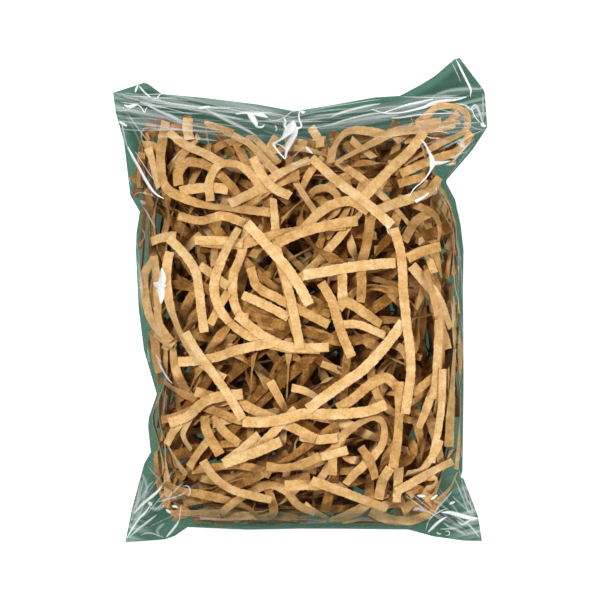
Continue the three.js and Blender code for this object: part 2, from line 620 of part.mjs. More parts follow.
// Whether a strip stays clear of the earlier ones, but for the one that it passes through at its hook
function keepsOff(strip, strips, hook) {
  const near = new THREE.Vector3();
  const spine = strip.flatMap(({ place }, k) => (k ? [strip[k - 1].place.clone().lerp(place, 0.5), place] : [place]));
  const away = spine.filter((point) => point.distanceTo(hook) > STRIP_WIDTH);
  return strips.every((other) => other.slice(1).every(({ place }, k) => {
    const stretch = new THREE.Line3(other[k].place, place);
    return away.every((point) => stretch.closestPointToPoint(point, true, near).distanceTo(point) > TANGLE_GAP);
  }));
}

// A point for a strip to pass through: on an earlier strip of the tangle, or anywhere for the first one
function hookFor(random, strips, level) {
  if (strips.length) {
    const caught = strips[Math.floor(random() * strips.length)];
    return caught[1 + Math.floor(random() * (caught.length - 2))].place;
  }
  const [x, y] = [HALF_WIDTH, HALF_LENGTH].map((half) => between(random, [-half / 2, half / 2]));
  const band = freeBand(x, y, level);
  return band ? new THREE.Vector3(x, y, between(random, band)) : hookFor(random, strips, level);
}

// Strips caught in one another, fused where each passes through an earlier one, and set down on the pile
function layTangle(level) {
  const random = seeded(101 + level);
  const strips = [];
  for (let tries = 0; strips.length < TANGLE_STRIPS && tries < TANGLE_TRIES; tries++) {
    const hook = hookFor(random, strips, level);
    const strip = looseStrip(random, hook, level);
    if (strip && keepsOff(strip, strips, hook)) strips.push(strip);
  }
  const drop = Math.max(...strips.map((strip) => distanceTo(1, strip)));
  for (const strip of strips) move(strip, drop);
  for (const strip of strips) takeRoom(1, strip);
  const solids = strips.map((strip) => solidOf(geometryOf(stripTriangles(strip))));
  const shells = solids.reduce((sum, solid) => sum.add(solid)).decompose();
  // A pocket closed off between crossing strips is a shell of its own, and is left filled.
  return geometryOfSolid(shells.reduce((best, shell) => (shell.volume() > best.volume() ? shell : best)));
}

const paper = new THREE.MeshStandardMaterial({ color: COLOURS.paper, roughness: 0.9, metalness: 0 });
const film = new THREE.MeshStandardMaterial({
  color: COLOURS.film, roughness: 0.12, metalness: 0, transparent: true, opacity: 0.35,
});

const bag = new THREE.Group();

function addMesh(name, geometry, material) {
  const mesh = new THREE.Mesh(geometry, material);
  mesh.name = name;
  bag.add(mesh);
}

const numbered = (name, k) => name + "_" + String(k + 1).padStart(2, "0");

addMesh("film_bag", filmBag(), film);
FRONT_STRIPS.forEach(({ points, roll }, k) => {
  addMesh(numbered("front_strip", k), geometryOf(stripTriangles(layStrip(-1, points, roll))), paper);
});
backStripPlans().forEach((points, k) => {
  addMesh(numbered("back_strip", k), geometryOf(stripTriangles(layStrip(1, points))), paper);
});
for (let level = 0; level < TANGLES; level++) addMesh(numbered("strip_tangle", level), layTangle(level), paper);

export default bag;
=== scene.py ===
import math

import bmesh
import bpy
import numpy as np
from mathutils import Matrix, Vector, bvhtree


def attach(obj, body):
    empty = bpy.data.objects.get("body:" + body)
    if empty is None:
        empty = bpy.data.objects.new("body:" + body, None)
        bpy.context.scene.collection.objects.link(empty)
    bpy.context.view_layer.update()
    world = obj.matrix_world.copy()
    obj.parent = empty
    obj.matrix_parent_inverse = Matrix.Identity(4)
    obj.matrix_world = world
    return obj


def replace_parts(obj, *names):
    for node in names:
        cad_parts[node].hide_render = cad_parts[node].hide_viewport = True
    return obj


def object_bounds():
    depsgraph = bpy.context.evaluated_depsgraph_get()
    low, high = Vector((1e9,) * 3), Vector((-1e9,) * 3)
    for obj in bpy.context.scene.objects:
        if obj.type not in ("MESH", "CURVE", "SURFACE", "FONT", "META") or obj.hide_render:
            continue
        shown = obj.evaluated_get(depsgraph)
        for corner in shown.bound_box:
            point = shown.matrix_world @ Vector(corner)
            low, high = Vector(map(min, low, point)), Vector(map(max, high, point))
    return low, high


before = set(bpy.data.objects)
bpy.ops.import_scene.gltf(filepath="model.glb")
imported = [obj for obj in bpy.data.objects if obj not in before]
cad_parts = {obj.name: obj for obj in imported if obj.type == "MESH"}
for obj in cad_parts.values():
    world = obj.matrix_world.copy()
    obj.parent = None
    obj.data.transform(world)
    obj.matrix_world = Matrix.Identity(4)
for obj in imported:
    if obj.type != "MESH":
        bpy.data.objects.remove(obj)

cad_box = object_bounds()
bpy.ops.object.select_all(action="DESELECT")


# Room in the bag
# The bag is one thin welded pouch of clear film. The paper fills it from its back sheet, which lies on the
# table, up to its front sheet, so the room between the two sheets is measured before any strip is made.

CELL = 0.0006
MARGIN_CELLS = 4
SLOPE_ROUNDS = 24
FILM_WALL = 0.0003
LEAST_DEPTH = 0.0025
FAR = 1.0

map_low = np.array(cad_box[0][:2]) - MARGIN_CELLS * CELL
map_size = tuple(math.ceil((cad_box[1][k] - cad_box[0][k]) / CELL) + 2 * MARGIN_CELLS for k in (0, 1))

film_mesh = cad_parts["film_bag"].data
film_corners = [vertex.co.copy() for vertex in film_mesh.vertices]
film_faces = [tuple(face.vertices) for face in film_mesh.polygons]
film_tree = bvhtree.BVHTree.FromPolygons(film_corners, film_faces)


def film_heights(looking):
    """The height of the bag's first face in each cell, looking down (-1) or up (1). NaN is beside it."""
    heights = np.full(map_size, np.nan)
    start = -looking * FAR
    for i in range(map_size[0]):
        x = map_low[0] + i * CELL
        for j in range(map_size[1]):
            hit = film_tree.ray_cast(Vector((x, map_low[1] + j * CELL, start)), Vector((0, 0, looking)))
            if hit[0] is not None:
                heights[i, j] = hit[0].z
    return heights


front_of_bag = film_heights(-1)
back_of_bag = film_heights(1)
in_bag = ~np.isnan(front_of_bag)
roomy = front_of_bag - back_of_bag > LEAST_DEPTH
ceiling = np.where(in_bag, front_of_bag - FILM_WALL, -FAR)
pile = np.where(in_bag, back_of_bag + FILM_WALL, FAR)


def cells_at(x, y):
    """The map cells that hold the given points."""
    i = np.clip(np.rint((x - map_low[0]) / CELL).astype(int), 1, map_size[0] - 2)
    j = np.clip(np.rint((y - map_low[1]) / CELL).astype(int), 1, map_size[1] - 2)
    return i, j


def slope_maps(heights):
    """The slope of a sheet along X and Y, evened out over the width of a strip."""
    filled = np.where(roomy, heights, 0.0)
    weight = roomy.astype(float)
    for _ in range(SLOPE_ROUNDS):
        for grid in (filled, weight):
            grid[1:-1, 1:-1] = (grid[:-2, 1:-1] + grid[2:, 1:-1] + grid[1:-1, :-2] + grid[1:-1, 2:]) / 4
    even = filled / np.maximum(weight, 1e-3)
    return np.gradient(even, CELL)


front_slopes = slope_maps(front_of_bag)
back_slopes = slope_maps(back_of_bag)


# Paper strips
# Flat strips cut from kraft paper on a shredding machine. They are stiff enough to hold the bends that they
# got in the machine, and they press on the film and on one another where they cross.

STRIP_WIDTH = 0.005
PAPER = 0.00015
GAP = 0.0001
STEP = 0.001
FINE_STEP = 0.0007
ACROSS = np.linspace(-1, 1, 9)
TIGHTEST_BEND = 0.006
STEEPEST_LEAN = 0.8
STEEPEST_ROLL = 1.4
EASING_ROUNDS = 8
CURVE_POINTS = 24

random = np.random.default_rng(7)


def even_steps(points, spacing):
    """Points at equal distances along a smooth curve through the given ones."""
    t = np.linspace(0, len(points) - 1, CURVE_POINTS * (len(points) - 1) + 1)
    k = np.clip(t.astype(int), 0, len(points) - 2)
    f = (t - k)[:, None]
    padded = np.vstack([2 * points[0] - points[1], points, 2 * points[-1] - points[-2]])
    a, b, c, d = padded[k], padded[k + 1], padded[k + 2], padded[k + 3]
    bend = (2 * a - 5 * b + 4 * c - d) * f**2 + (3 * b - a - 3 * c + d) * f**3
    fine = 0.5 * (2 * b + (c - a) * f + bend)
    reach = np.concatenate([[0], np.cumsum(np.linalg.norm(np.diff(fine[:, :3], axis=0), axis=1))])
    count = max(int(round(reach[-1] / spacing)), 6)
    at = np.linspace(0, reach[-1], count + 1)
    return np.column_stack([np.interp(at, reach, fine[:, n]) for n in range(fine.shape[1])])


def plan_frame(path):
    """The horizontal side direction at each point of a path, to the right of its way."""
    along = np.gradient(path[:, :2], axis=0)
    along /= np.maximum(np.linalg.norm(along, axis=1), 1e-9)[:, None]
    return np.column_stack([along[:, 1], -along[:, 0]])


def footprint(path, side, roll, width):
    """Where a strip's points lie in plan, and how far each is above its middle line."""
    reach = width / 2 * ACROSS[None, :]
    x = path[:, :1] + side[:, :1] * reach * np.cos(roll)[:, None]
    y = path[:, 1:2] + side[:, 1:] * reach * np.cos(roll)[:, None]
    return cells_at(x, y), reach * np.sin(roll)[:, None]


def film_lean(path, side, slopes):
    """The roll at which a strip lies along the film beside it."""
    i, j = cells_at(path[:, 0], path[:, 1])
    lean = np.arctan(slopes[0][i, j] * side[:, 0] + slopes[1][i, j] * side[:, 1])
    return np.clip(lean, -STEEPEST_LEAN, STEEPEST_LEAN)


def laid_height(way, path, side, roll, width, wave):
    """The heights at which a strip clears the pile (way 1) or the ceiling (way -1), bent as paper bends."""
    room = pile if way > 0 else ceiling
    cells, above = footprint(path, side, roll, width)
    needed = np.where(in_bag[cells], way * room[cells] - way * above, -FAR)
    lift = needed.max(axis=1) + GAP + PAPER + wave
    run = np.arange(len(lift)) * np.linalg.norm(np.diff(path[:, :2], axis=0), axis=1).mean()
    drop = (run[:, None] - run[None, :]) ** 2 / (2 * TIGHTEST_BEND)
    bent = (lift[None, :] - drop).max(axis=1)
    for _ in range(EASING_ROUNDS):
        bent[1:-1] = np.maximum(lift[1:-1], (bent[:-2] + 2 * bent[1:-1] + bent[2:]) / 4)
    return way * bent


def has_room(path, side, roll, width, share=0.99):
    """Whether a strip clears the pile and the ceiling over the given share of it."""
    cells, above = footprint(path, side, roll, width)
    z = path[:, 2:3] + above
    clear = (z < ceiling[cells] - GAP / 2) & (z > pile[cells] + GAP / 2)
    return clear.mean() >= share


def take_room(way, path, side, roll, width):
    """Lowers the ceiling, or raises the pile, to the far face of a strip."""
    room = pile if way > 0 else ceiling
    (i, j), above = footprint(path, side, roll, width)
    z = path[:, 2:3] + above + way * PAPER
    pick = np.maximum if way > 0 else np.minimum
    pick.at(room, (i, j), z)


class Bundle:
    """Strips that are made as one mesh: their corners, faces, the map along each strip and its tone, partly
    painted shade.
    """

    def __init__(self):
        self.corners, self.faces, self.map, self.tones = [], [], [], []
        self.count = 0

    def add(self, path, side, roll, width, tone_and_shade, cup=0.0, rough=0.0):
        rings = len(path)
        along = np.gradient(path, axis=0)
        along /= np.maximum(np.linalg.norm(along, axis=1), 1e-9)[:, None]
        flat = np.column_stack([side, np.zeros(rings)])
        flat -= along * (flat * along).sum(axis=1)[:, None]
        flat /= np.linalg.norm(flat, axis=1)[:, None]
        face = np.cross(flat, along)
        across = flat * np.cos(roll)[:, None] + face * np.sin(roll)[:, None]
        normal = face * np.cos(roll)[:, None] - flat * np.sin(roll)[:, None]
        run = np.concatenate([[0], np.cumsum(np.linalg.norm(np.diff(path, axis=0), axis=1))])
        columns, across_map = [], []
        for place in (-1, 0, 1):
            jag = 1 + rough * random.uniform(-1, 1, rings) * abs(place)
            bowed = normal * (cup * (1 - abs(place)))
            for level in (0.5, -0.5):
                beside = across * (place * width / 2 * jag)[:, None]
                columns.append(path + beside + bowed + normal * (PAPER * level))
                across_map.append(place * width / 2)
        block = np.stack(columns, axis=1).reshape(-1, 3)
        base = self.count
        loop = [0, 2, 4, 5, 3, 1]
        turn = [(loop[n], loop[(n + 1) % 6]) for n in range(6)]
        for k in range(rings - 1):
            here, there = base + 6 * k, base + 6 * k + 6
            for p, q in turn:
                self.faces.append((here + p, here + q, there + q, there + p))
                self.map.append([
                    (run[k], across_map[p]), (run[k], across_map[q]),
                    (run[k + 1], across_map[q]), (run[k + 1], across_map[p]),
                ])
        first, last = 0, rings - 1
        ends = ((first, (0, 1, 3, 2)), (first, (2, 3, 5, 4)), (last, (0, 2, 3, 1)), (last, (2, 4, 5, 3)))
        for ring, order in ends:
            self.faces.append(tuple(base + 6 * ring + n for n in order))
            self.map.append([(run[ring], across_map[n]) for n in order])
        self.corners.append(block)
        self.tones.append(np.full(len(block), tone_and_shade))
        self.count += len(block)

    def build(self, name):
        mesh = bpy.data.meshes.new(name)
        mesh.from_pydata(np.concatenate(self.corners).tolist(), [], self.faces)
        layer = mesh.uv_layers.new(name="Strip")
        layer.data.foreach_set("uv", np.array([pair for face in self.map for pair in face]).ravel())
        tone_and_shade = mesh.attributes.new("tone_and_shade", "FLOAT", "POINT")
        tone_and_shade.data.foreach_set("value", np.concatenate(self.tones))
        mesh.materials.append(paper)
        piece = bpy.data.objects.new(name, mesh)
        bpy.context.collection.objects.link(piece)
        mesh.update()
        bpy.context.view_layer.objects.active = piece
        piece.select_set(True)
        bpy.ops.object.shade_smooth_by_angle(angle=math.radians(50))
        piece.select_set(False)
        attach(piece, "root")
        return piece


def stations_of(node):
    """The middle line of a CAD strip, in order: its centre, side direction and roll at each station."""
    solid = bmesh.new()
    solid.from_mesh(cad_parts[node].data)
    bmesh.ops.remove_doubles(solid, verts=solid.verts, dist=1e-6)
    group = {}
    for start in solid.verts:
        if start in group:
            continue
        group[start] = len(set(group.values()))
        queue = [start]
        while queue:
            vertex = queue.pop()
            for edge in vertex.link_edges:
                other = edge.other_vert(vertex)
                if edge.calc_length() < 1.02 * STRIP_WIDTH and other not in group:
                    group[other] = group[vertex]
                    queue.append(other)
    members = [[v for v in group if group[v] == n] for n in sorted(set(group.values()))]
    centres = np.array([np.mean([v.co for v in ring], axis=0) for ring in members])
    beside = {n: set() for n in range(len(members))}
    for edge in solid.edges:
        a, b = (group[v] for v in edge.verts)
        if a != b:
            beside[a].add(b)
            beside[b].add(a)
    order = [next(n for n in beside if len(beside[n]) == 1)]
    while len(order) < len(members):
        order.append(next(n for n in beside[order[-1]] if n not in order))
    sides = []
    for n in order:
        spread = np.array([v.co for v in members[n]]) - centres[n]
        direction = spread[np.argmax(np.linalg.norm(spread, axis=1))]
        direction = direction / np.linalg.norm(direction)
        sides.append(-direction if sides and direction @ sides[-1] < 0 else direction)
    solid.free()
    return centres[order], np.array(sides)


def strip_on_solid(node, spacing):
    """A smooth strip along a CAD strip: its path, side directions and roll."""
    centres, sides = stations_of(node)
    smooth = even_steps(np.column_stack([centres, sides]), spacing)
    path, across = smooth[:, :3], smooth[:, 3:]
    across /= np.linalg.norm(across, axis=1)[:, None]
    side = plan_frame(path)
    if (across[:, :2] * side).sum() < 0:
        across = -across
    level = (across[:, :2] * side).sum(axis=1)
    return path, side, np.arctan2(across[:, 2], level)


def kraft_paper():
    """Uncoated brown paper with long fibres and flecks."""
    material = bpy.data.materials.new("kraft paper")
    material.use_nodes = True
    nodes, links = material.node_tree.nodes, material.node_tree.links
    shader = nodes["Principled BSDF"]
    shader.inputs["Roughness"].default_value = 0.82
    shader.inputs["Specular IOR Level"].default_value = 0.25
    place = nodes.new("ShaderNodeTexCoord")
    tone_and_shade = nodes.new("ShaderNodeAttribute")
    tone_and_shade.attribute_name = "tone_and_shade"
    shade = tone_and_shade.outputs["Fac"]
    for size, detail, strength in ((200, 2, 0.85), (900, 4, 0.65), (2600, 2, 0.4)):
        grain = nodes.new("ShaderNodeTexNoise")
        grain.inputs["Scale"].default_value = size
        grain.inputs["Detail"].default_value = detail
        links.new(place.outputs["Object"], grain.inputs["Vector"])
        added = nodes.new("ShaderNodeMath")
        added.operation = "MULTIPLY_ADD"
        added.inputs[1].default_value = strength
        links.new(grain.outputs["Fac"], added.inputs[0])
        links.new(shade, added.inputs[2])
        shade = added.outputs[0]
    level = nodes.new("ShaderNodeMapRange")
    level.inputs["From Min"].default_value = 0.93
    level.inputs["From Max"].default_value = 1.93
    links.new(shade, level.inputs["Value"])
    ramp = nodes.new("ShaderNodeValToRGB")
    ramp.color_ramp.elements[0].color = (0.2, 0.082, 0.018, 1)
    ramp.color_ramp.elements[1].color = (0.86, 0.6, 0.32, 1)
    for position, colour in ((0.3, (0.45, 0.222, 0.066, 1)), (0.65, (0.68, 0.4, 0.155, 1))):
        ramp.color_ramp.elements.new(position).color = colour
    links.new(level.outputs["Result"], ramp.inputs["Fac"])
    links.new(ramp.outputs["Color"], shader.inputs["Base Color"])
    bump = nodes.new("ShaderNodeBump")
    bump.inputs["Strength"].default_value = 0.6
    bump.inputs["Distance"].default_value = 0.0003
    links.new(shade, bump.inputs["Height"])
    links.new(bump.outputs["Normal"], shader.inputs["Normal"])
    return material


paper = kraft_paper()
front_nodes = sorted(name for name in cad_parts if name.startswith("front_strip"))
back_nodes = sorted(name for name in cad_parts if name.startswith("back_strip"))

for way, names in ((-1, front_nodes), (1, back_nodes)):
    for name in names:
        path, side, roll = strip_on_solid(name, FINE_STEP)
        take_room(way, path, side, roll, STRIP_WIDTH)
        strip = Bundle()
        width = STRIP_WIDTH * random.uniform(0.76, 0.94)
        tone_and_shade = random.uniform(0.5, 0.8)
        strip.add(path, side, roll, width, tone_and_shade, cup=random.uniform(-0.0003, 0.0003), rough=0.08)
        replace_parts(strip.build(name + "_paper"), name)

for name in sorted(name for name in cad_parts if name.startswith("strip_tangle")):
    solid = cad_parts[name]
    solid.data.materials.clear()
    solid.data.materials.append(paper)


# Second layer of strips
# More strips of the same paper, which show between the topmost ones. Each row follows a strip in the
# photograph, and gives its middle line in millimetres from the bag's middle and how far it is rolled on its
# edge, in degrees. Each lies under the ones before it.

SECOND_LAYER = [
    ([(43.9, -36), (43.5, -56.7), (41.2, -74.2)], 0),
    ([(-61.8, -53.6), (-55.5, -51.8), (-49.2, -48.1), (-44.3, -47.2), (-35.3, -50), (-26.7, -53.1),
      (-18.2, -53.6)], 0),
    ([(-44.3, 25.7), (-35.3, 24.8), (-24.9, 24.8), (-12.8, 28.4), (-0.6, 30.6), (8.8, 31.9),
      (20.1, 32.9)], 0),
    ([(-11.9, 45), (-11, 33.8), (-9.6, 19.4), (-6.5, 5), (-2.4, -12.6), (0.7, -19.8)], 30),
    ([(49.3, 15.3), (54.3, 9.5), (60.1, 2.7), (64.2, -4.5), (67.3, -12.6)], 0),
    ([(54, 78.8), (58.5, 79.9), (63.7, 80.5)], 0),
    ([(49.8, 82.6), (52.2, 76.1), (55.6, 67.5), (57.4, 60.3)], 62),
    ([(45.7, 60.3), (51.6, 64.4), (58.3, 67.9), (64.6, 71.1), (70.2, 73.8), (74.3, 76.5), (75.6, 80.1),
      (74.7, 84.2), (71.3, 86.6), (66.4, 87.5), (61.9, 87.1), (58.3, 84.2), (54, 80.1), (48, 75.6),
      (42.6, 71.5)], 48),
    ([(46.6, 71.5), (53.8, 73.8), (60.8, 77), (66.8, 80.5), (71.5, 84.4)], 20),
    ([(66.4, 80.1), (69.1, 80.5), (72, 80.3)], 20),
    ([(16.5, -47.7), (22.8, -44.1), (28.6, -39.1), (35.8, -34.6), (39.4, -35.1), (43.9, -39.6)], 0),
    ([(-60.5, 80.5), (-61.8, 72), (-62.3, 63), (-61.4, 54.9), (-58.7, 49.1), (-52.4, 45.5), (-43.4, 42.3),
      (-34.4, 41), (-25.4, 40.1), (-13.2, 38.7)], 20),
    ([(-24.9, 41), (-17.7, 46.4), (-9.2, 52.2), (-0.2, 55.8)], 0),
    ([(-28.5, 70.7), (-24.9, 63), (-21.3, 56.2), (-16.4, 52.2)], 0),
    ([(-53.7, 50.9), (-54.2, 56.2), (-50.1, 61.2), (-42.5, 60.3), (-35.7, 55.8), (-29.4, 49.5),
      (-24.9, 41.9)], 10),
    ([(-48.8, 79.2), (-43.4, 79.2), (-37.5, 73.8), (-29.4, 66.6)], 25),
    ([(-68.2, 68.2), (-66.2, 62.6), (-64.8, 56.7), (-62.6, 50.2)], 10),
    ([(-63, 61.2), (-65, 68.4), (-68.2, 69.3), (-70.9, 70.7), (-71.5, 74.7), (-70.2, 77.4), (-66.4, 77.8),
      (-62.3, 76.1)], 35),
    ([(-53.3, 48.1), (-46.5, 49.5), (-39.3, 50), (-32.1, 49.1)], -15),
    ([(43.9, 51.8), (49.8, 53.6), (56.1, 55.4)], 0),
    ([(-60.9, -81.5), (-52.4, -85), (-43.8, -86.4), (-35.3, -88.7), (-23.6, -92.7), (-18.2, -97.2),
      (-12.3, -96.3), (-12.3, -90), (-15, -82.8)], 0),
    ([(-15, -73.4), (-6.5, -74.2), (2.1, -72), (8.8, -68.9)], 0),
    ([(-0.2, -60.3), (8.4, -61.6), (16.5, -60.8)], 0),
    ([(-0.2, -73.4), (6.6, -70.2), (14.7, -68), (21, -66.2)], 10),
    ([(-33.9, -72), (-26.7, -66.6), (-18.2, -59.4)], 0),
    ([(-60.5, -36.5), (-55.5, -40.1), (-47, -43.6), (-38, -45), (-33, -45)], 0),
    ([(-35.3, -5.9), (-26.7, -13.5), (-18.2, -18), (-6.5, -21.2), (8.8, -22.1)], 10),
    ([(-44.3, 15.3), (-38, 10.8), (-31.7, 5.9)], 0),
    ([(-31.7, 3.6), (-35.3, -2.2), (-39.8, -10.8)], 0),
    ([(18.3, -10.8), (25.5, -10.8), (32.7, -13.5), (37.6, -15.8)], 0),
    ([(16.9, -3.6), (20.1, -0.9), (25.5, -3.6), (35.8, -10.8)], 15),
    ([(18.7, 13), (18.7, 6), (18.7, -1)], 0),
    ([(26.8, 13), (27.2, 6), (26.8, -1)], -10),
    ([(47.5, 18.4), (54.3, 21.6), (62.4, 23.9)], 0),
    ([(49.8, -41.4), (54.7, -37.8), (60.1, -33.3)], 0),
    ([(47.1, -77.4), (54.3, -76), (60.1, -68.4), (62.8, -62.6)], 0),
    ([(70.9, -77.4), (67.3, -84.6), (60.1, -91.4)], 15),
    ([(1.6, -91.4), (8.4, -95.9), (16.9, -99), (25.5, -95.9), (30.9, -90.9)], 0),
    ([(39.9, -74.2), (36.7, -80.1), (34.9, -88.7)], 0),
    ([(43.9, -74.2), (43.5, -82.8), (43, -90)], 0),
    ([(26.8, -64.8), (30.9, -71.1), (33.6, -79.2)], 0),
    ([(-50.6, -52.2), (-56, -58.1), (-59.6, -64.4)], 0),
    ([(-49.2, -52.2), (-51.9, -59.9), (-48.3, -66.6)], -20),
    ([(-42, -51.3), (-41.1, -58.1), (-35.3, -68.4)], 0),
    ([(-38.9, -51.8), (-33.5, -58.1), (-26.7, -63.9)], 15),
    ([(-49.2, -74.2), (-45.6, -68.4), (-41.1, -62.6)], 0),
    ([(-65.9, 17.6), (-69.9, 10.8), (-69, -0.9), (-66.3, -9.5), (-60.9, -15.8), (-56, -19.8)], 30),
    ([(-65, -14.8), (-60.5, -18), (-55.5, -21.2)], 0),
    ([(-66.3, 26.1), (-60.9, 27.9), (-55, 28.5)], 0),
    ([(64.6, 37.4), (68.2, 31.1), (68.7, 22.1), (68.2, 10.8)], 35),
    ([(68.7, 1.8), (69.1, -12.6), (70, -29.7)], 35),
    ([(67.5, 31), (70.2, 14), (71.3, -6)], 45),
    ([(71.2, -2), (71.8, -18), (71.9, -36)], 50),
    ([(70.8, -28), (71.8, -46), (71.4, -64), (70.2, -76)], 45),
    ([(66.2, -30), (67.5, -48), (66.9, -62)], 20),
    ([(31.3, -94.5), (40, -98.6), (50, -99), (58, -96)], 30),
    ([(54.5, -86), (60.5, -92.5), (56.5, -97.5)], 20),
    ([(-58.2, -95.4), (-46, -95), (-35.7, -95.4)], 0),
    ([(-42.5, 76.5), (-40.7, 68.9), (-38, 59.9)], 60),
    ([(22.8, 72), (27.3, 68), (33.1, 63.5)], 20),
    ([(14.2, -77.4), (14.7, -68.4), (16.9, -62.1), (24.1, -55.8), (31.8, -51.8), (36.7, -54.5),
      (36.7, -62.6), (31.8, -69.8), (25, -76), (20.1, -81.5)], 30),
    ([(-23.1, 31.9), (-26.3, 19.4), (-29.4, 10.8), (-29.4, 0.5), (-26.3, -6.8), (-22.7, -7.7)], 0),
    ([(52.5, -56.7), (56.1, -48.1), (59.7, -38.7)], 0),
    ([(-50.6, 81.9), (-50.6, 76.5), (-49.7, 72)], 0),
    ([(59.5, 56.8), (61.7, 52.9), (66.2, 45), (69, 36), (69.8, 27), (69.8, 18)], 50),
    ([(62.8, 46.8), (67.3, 40.5), (69, 31.5), (66.2, 22.5)], 15),
    ([(44.8, 45.5), (50.4, 46.1), (56.1, 50.6), (57.4, 54)], 15),
    ([(51, 42.8), (58.3, 39.4), (61.7, 33.8), (61.7, 27), (58.3, 19.1)], 15),
    ([(45.9, 25.9), (51.6, 34.9), (58.3, 39.4)], 0),
    ([(52.9, -80.1), (57.4, -79.2), (61, -81), (59.2, -83.7), (55.6, -84.2)], 45),
    ([(48.4, -87.3), (51, -84.6), (54.7, -85.5), (56.5, -88.7), (53.8, -91.4)], 45),
    ([(60.1, -86.4), (57.4, -90), (58.3, -93.6), (55.6, -96.3)], 45),
    ([(45.7, -94.5), (50.2, -91.8), (55.6, -93.6), (58.3, -97.2)], 30),
    ([(-62.7, -41.4), (-65.9, -52.7), (-63.2, -63.9), (-60.9, -76.5)], -45),
    ([(-59.8, -33.8), (-62.1, -41.4), (-63.2, -49.5), (-60.9, -60.8), (-56.4, -69.8), (-51, -77.4)], -50),
]

RIPPLE = 0.35

second_layer = Bundle()
for points, roll_degrees in SECOND_LAYER:
    plan = even_steps(np.array(points, float) / 1000, STEP)
    side = plan_frame(plan)
    roll = film_lean(plan, side, front_slopes) + math.radians(roll_degrees)
    roll = np.clip(roll, -STEEPEST_ROLL, STEEPEST_ROLL)
    run = np.arange(len(plan)) * STEP
    roll = roll + RIPPLE * np.sin(run / random.uniform(0.005, 0.012) + random.uniform(0, 6.3))
    width = STRIP_WIDTH * random.uniform(0.72, 0.92)
    cells, above = footprint(plan, side, roll, width)
    lowest = (np.nan_to_num(back_of_bag)[cells] - above).max(axis=1) + FILM_WALL
    path = np.column_stack([plan, np.maximum(laid_height(-1, plan, side, roll, width, 0.0002), lowest)])
    take_room(-1, path, side, roll, width)
    second_layer.add(path, side, roll, width, random.uniform(0.4, 0.8), cup=0.0002, rough=0.07)
second_layer.build("second_layer")


# Loose filling
# The rest of the strips, which fill the bag between the ones that show best. They lie every way, bend and
# curl, and each is laid against the strips that were there before it.

SIDE_BAND = 0.058
BOTTOM_BAND = -0.085
LOWEST_STRIP = -0.1005
EAR_TOP = -0.07
EAR_SIDE = 0.068
EAR_SLOPE = 0.33
LONG_STRIPS, SHORT_STRIPS = (0.03, 0.085), (0.012, 0.03)
UNCOVERED = 0.006
GENTLE, CURLED, LOOPED = (0.035, 0.2), (0.016, 0.04), (0.008, 0.013)
STRAY = 0.25
MOST_TRIES = 30000
roomy_cells = np.argwhere(roomy)


def loose_path(length):
    """A random curve in plan, from a random place in the bag."""
    count = int(length / STEP)
    kind = random.choice(3, p=[0.6, 0.32, 0.08])
    radius = random.uniform(*(GENTLE, CURLED, LOOPED)[kind])
    bend = random.choice([-1, 1]) / radius
    change = random.uniform(0.3, 1.2) * abs(bend)
    s = np.arange(count) * STEP
    i, j = roomy_cells[random.integers(len(roomy_cells))]
    start = map_low + np.array([i, j]) * CELL
    heading = random.uniform(0, 2 * math.pi)
    if abs(start[0]) > SIDE_BAND:
        bend, change = bend / 4, change / 4
        heading = random.choice([-1, 1]) * math.pi / 2 + random.normal(0, STRAY)
    elif start[1] < BOTTOM_BAND:
        bend, change = bend / 4, change / 4
        heading = random.choice([0, 1]) * math.pi + random.normal(0, STRAY)
    turns = bend + change * np.sin(2 * math.pi * s / random.uniform(0.04, 0.12) + random.uniform(0, 6.3))
    heading += np.cumsum(turns) * STEP
    return start + np.column_stack([np.cumsum(np.cos(heading)), np.cumsum(np.sin(heading))]) * STEP


def lay_loose(way, rolled, waved, depth, lengths):
    """Tries to lay one loose strip: its path, side directions, roll and width, or nothing without room."""
    plan = loose_path(random.uniform(*lengths))
    i, j = cells_at(plan[:, 0], plan[:, 1])
    if not roomy[i, j].all() or plan[:, 1].min() < LOWEST_STRIP:
        return None
    if (ceiling[i, j] - pile[i, j]).min() < depth:
        return None
    into_ear = abs(plan[:, 0]) - EAR_SIDE + EAR_SLOPE * (EAR_TOP - plan[:, 1])
    if (into_ear[plan[:, 1] < EAR_TOP] > 0).any():
        return None
    side = plan_frame(plan)
    s = np.arange(len(plan)) * STEP
    rolled *= random.choice([1, 3], p=[0.6, 0.4])
    twist = random.normal(0, rolled) + rolled * np.sin(2 * math.pi * s / 0.05 + random.uniform(0, 6.3))
    roll = film_lean(plan, side, front_slopes if way < 0 else back_slopes) + twist
    roll = np.clip(roll, -STEEPEST_ROLL, STEEPEST_ROLL)
    width = STRIP_WIDTH * random.uniform(0.6, 0.95)
    wave = waved * (1 + np.sin(2 * math.pi * s / random.uniform(0.03, 0.08) + random.uniform(0, 6.3)))
    height = laid_height(way, plan, side, roll, width, wave)
    path = np.column_stack([plan, height])
    if not has_room(path, side, roll, width):
        return None
    take_room(way, path, side, roll, width)
    return path, side, roll, width


def fill(name, way, wanted, rolled, waved, per_piece, depth=0.002, lengths=LONG_STRIPS):
    """Lays loose strips while there is room, at most the wanted number, and makes them up into pieces."""
    bundle, laid, built = Bundle(), 0, 0
    for _ in range(MOST_TRIES):
        strip = lay_loose(way, rolled, waved, depth, lengths)
        if strip is None:
            continue
        path, side, roll, width = strip
        # Loose strips get tones down to very dark: partly random tone, partly painted shade for strips that
        # lie deep in the pile.
        tone_and_shade, cup = random.uniform(0.05, 0.72), random.uniform(-0.0004, 0.0004)
        bundle.add(path[::2], side[::2], roll[::2], width, tone_and_shade, cup, rough=0.05)
        laid += 1
        if laid % per_piece == 0:
            built += 1
            bundle.build(f"{name}_{built:02d}")
            bundle = Bundle()
        if laid == wanted:
            break
    if bundle.count:
        bundle.build(f"{name}_{built + 1:02d}")


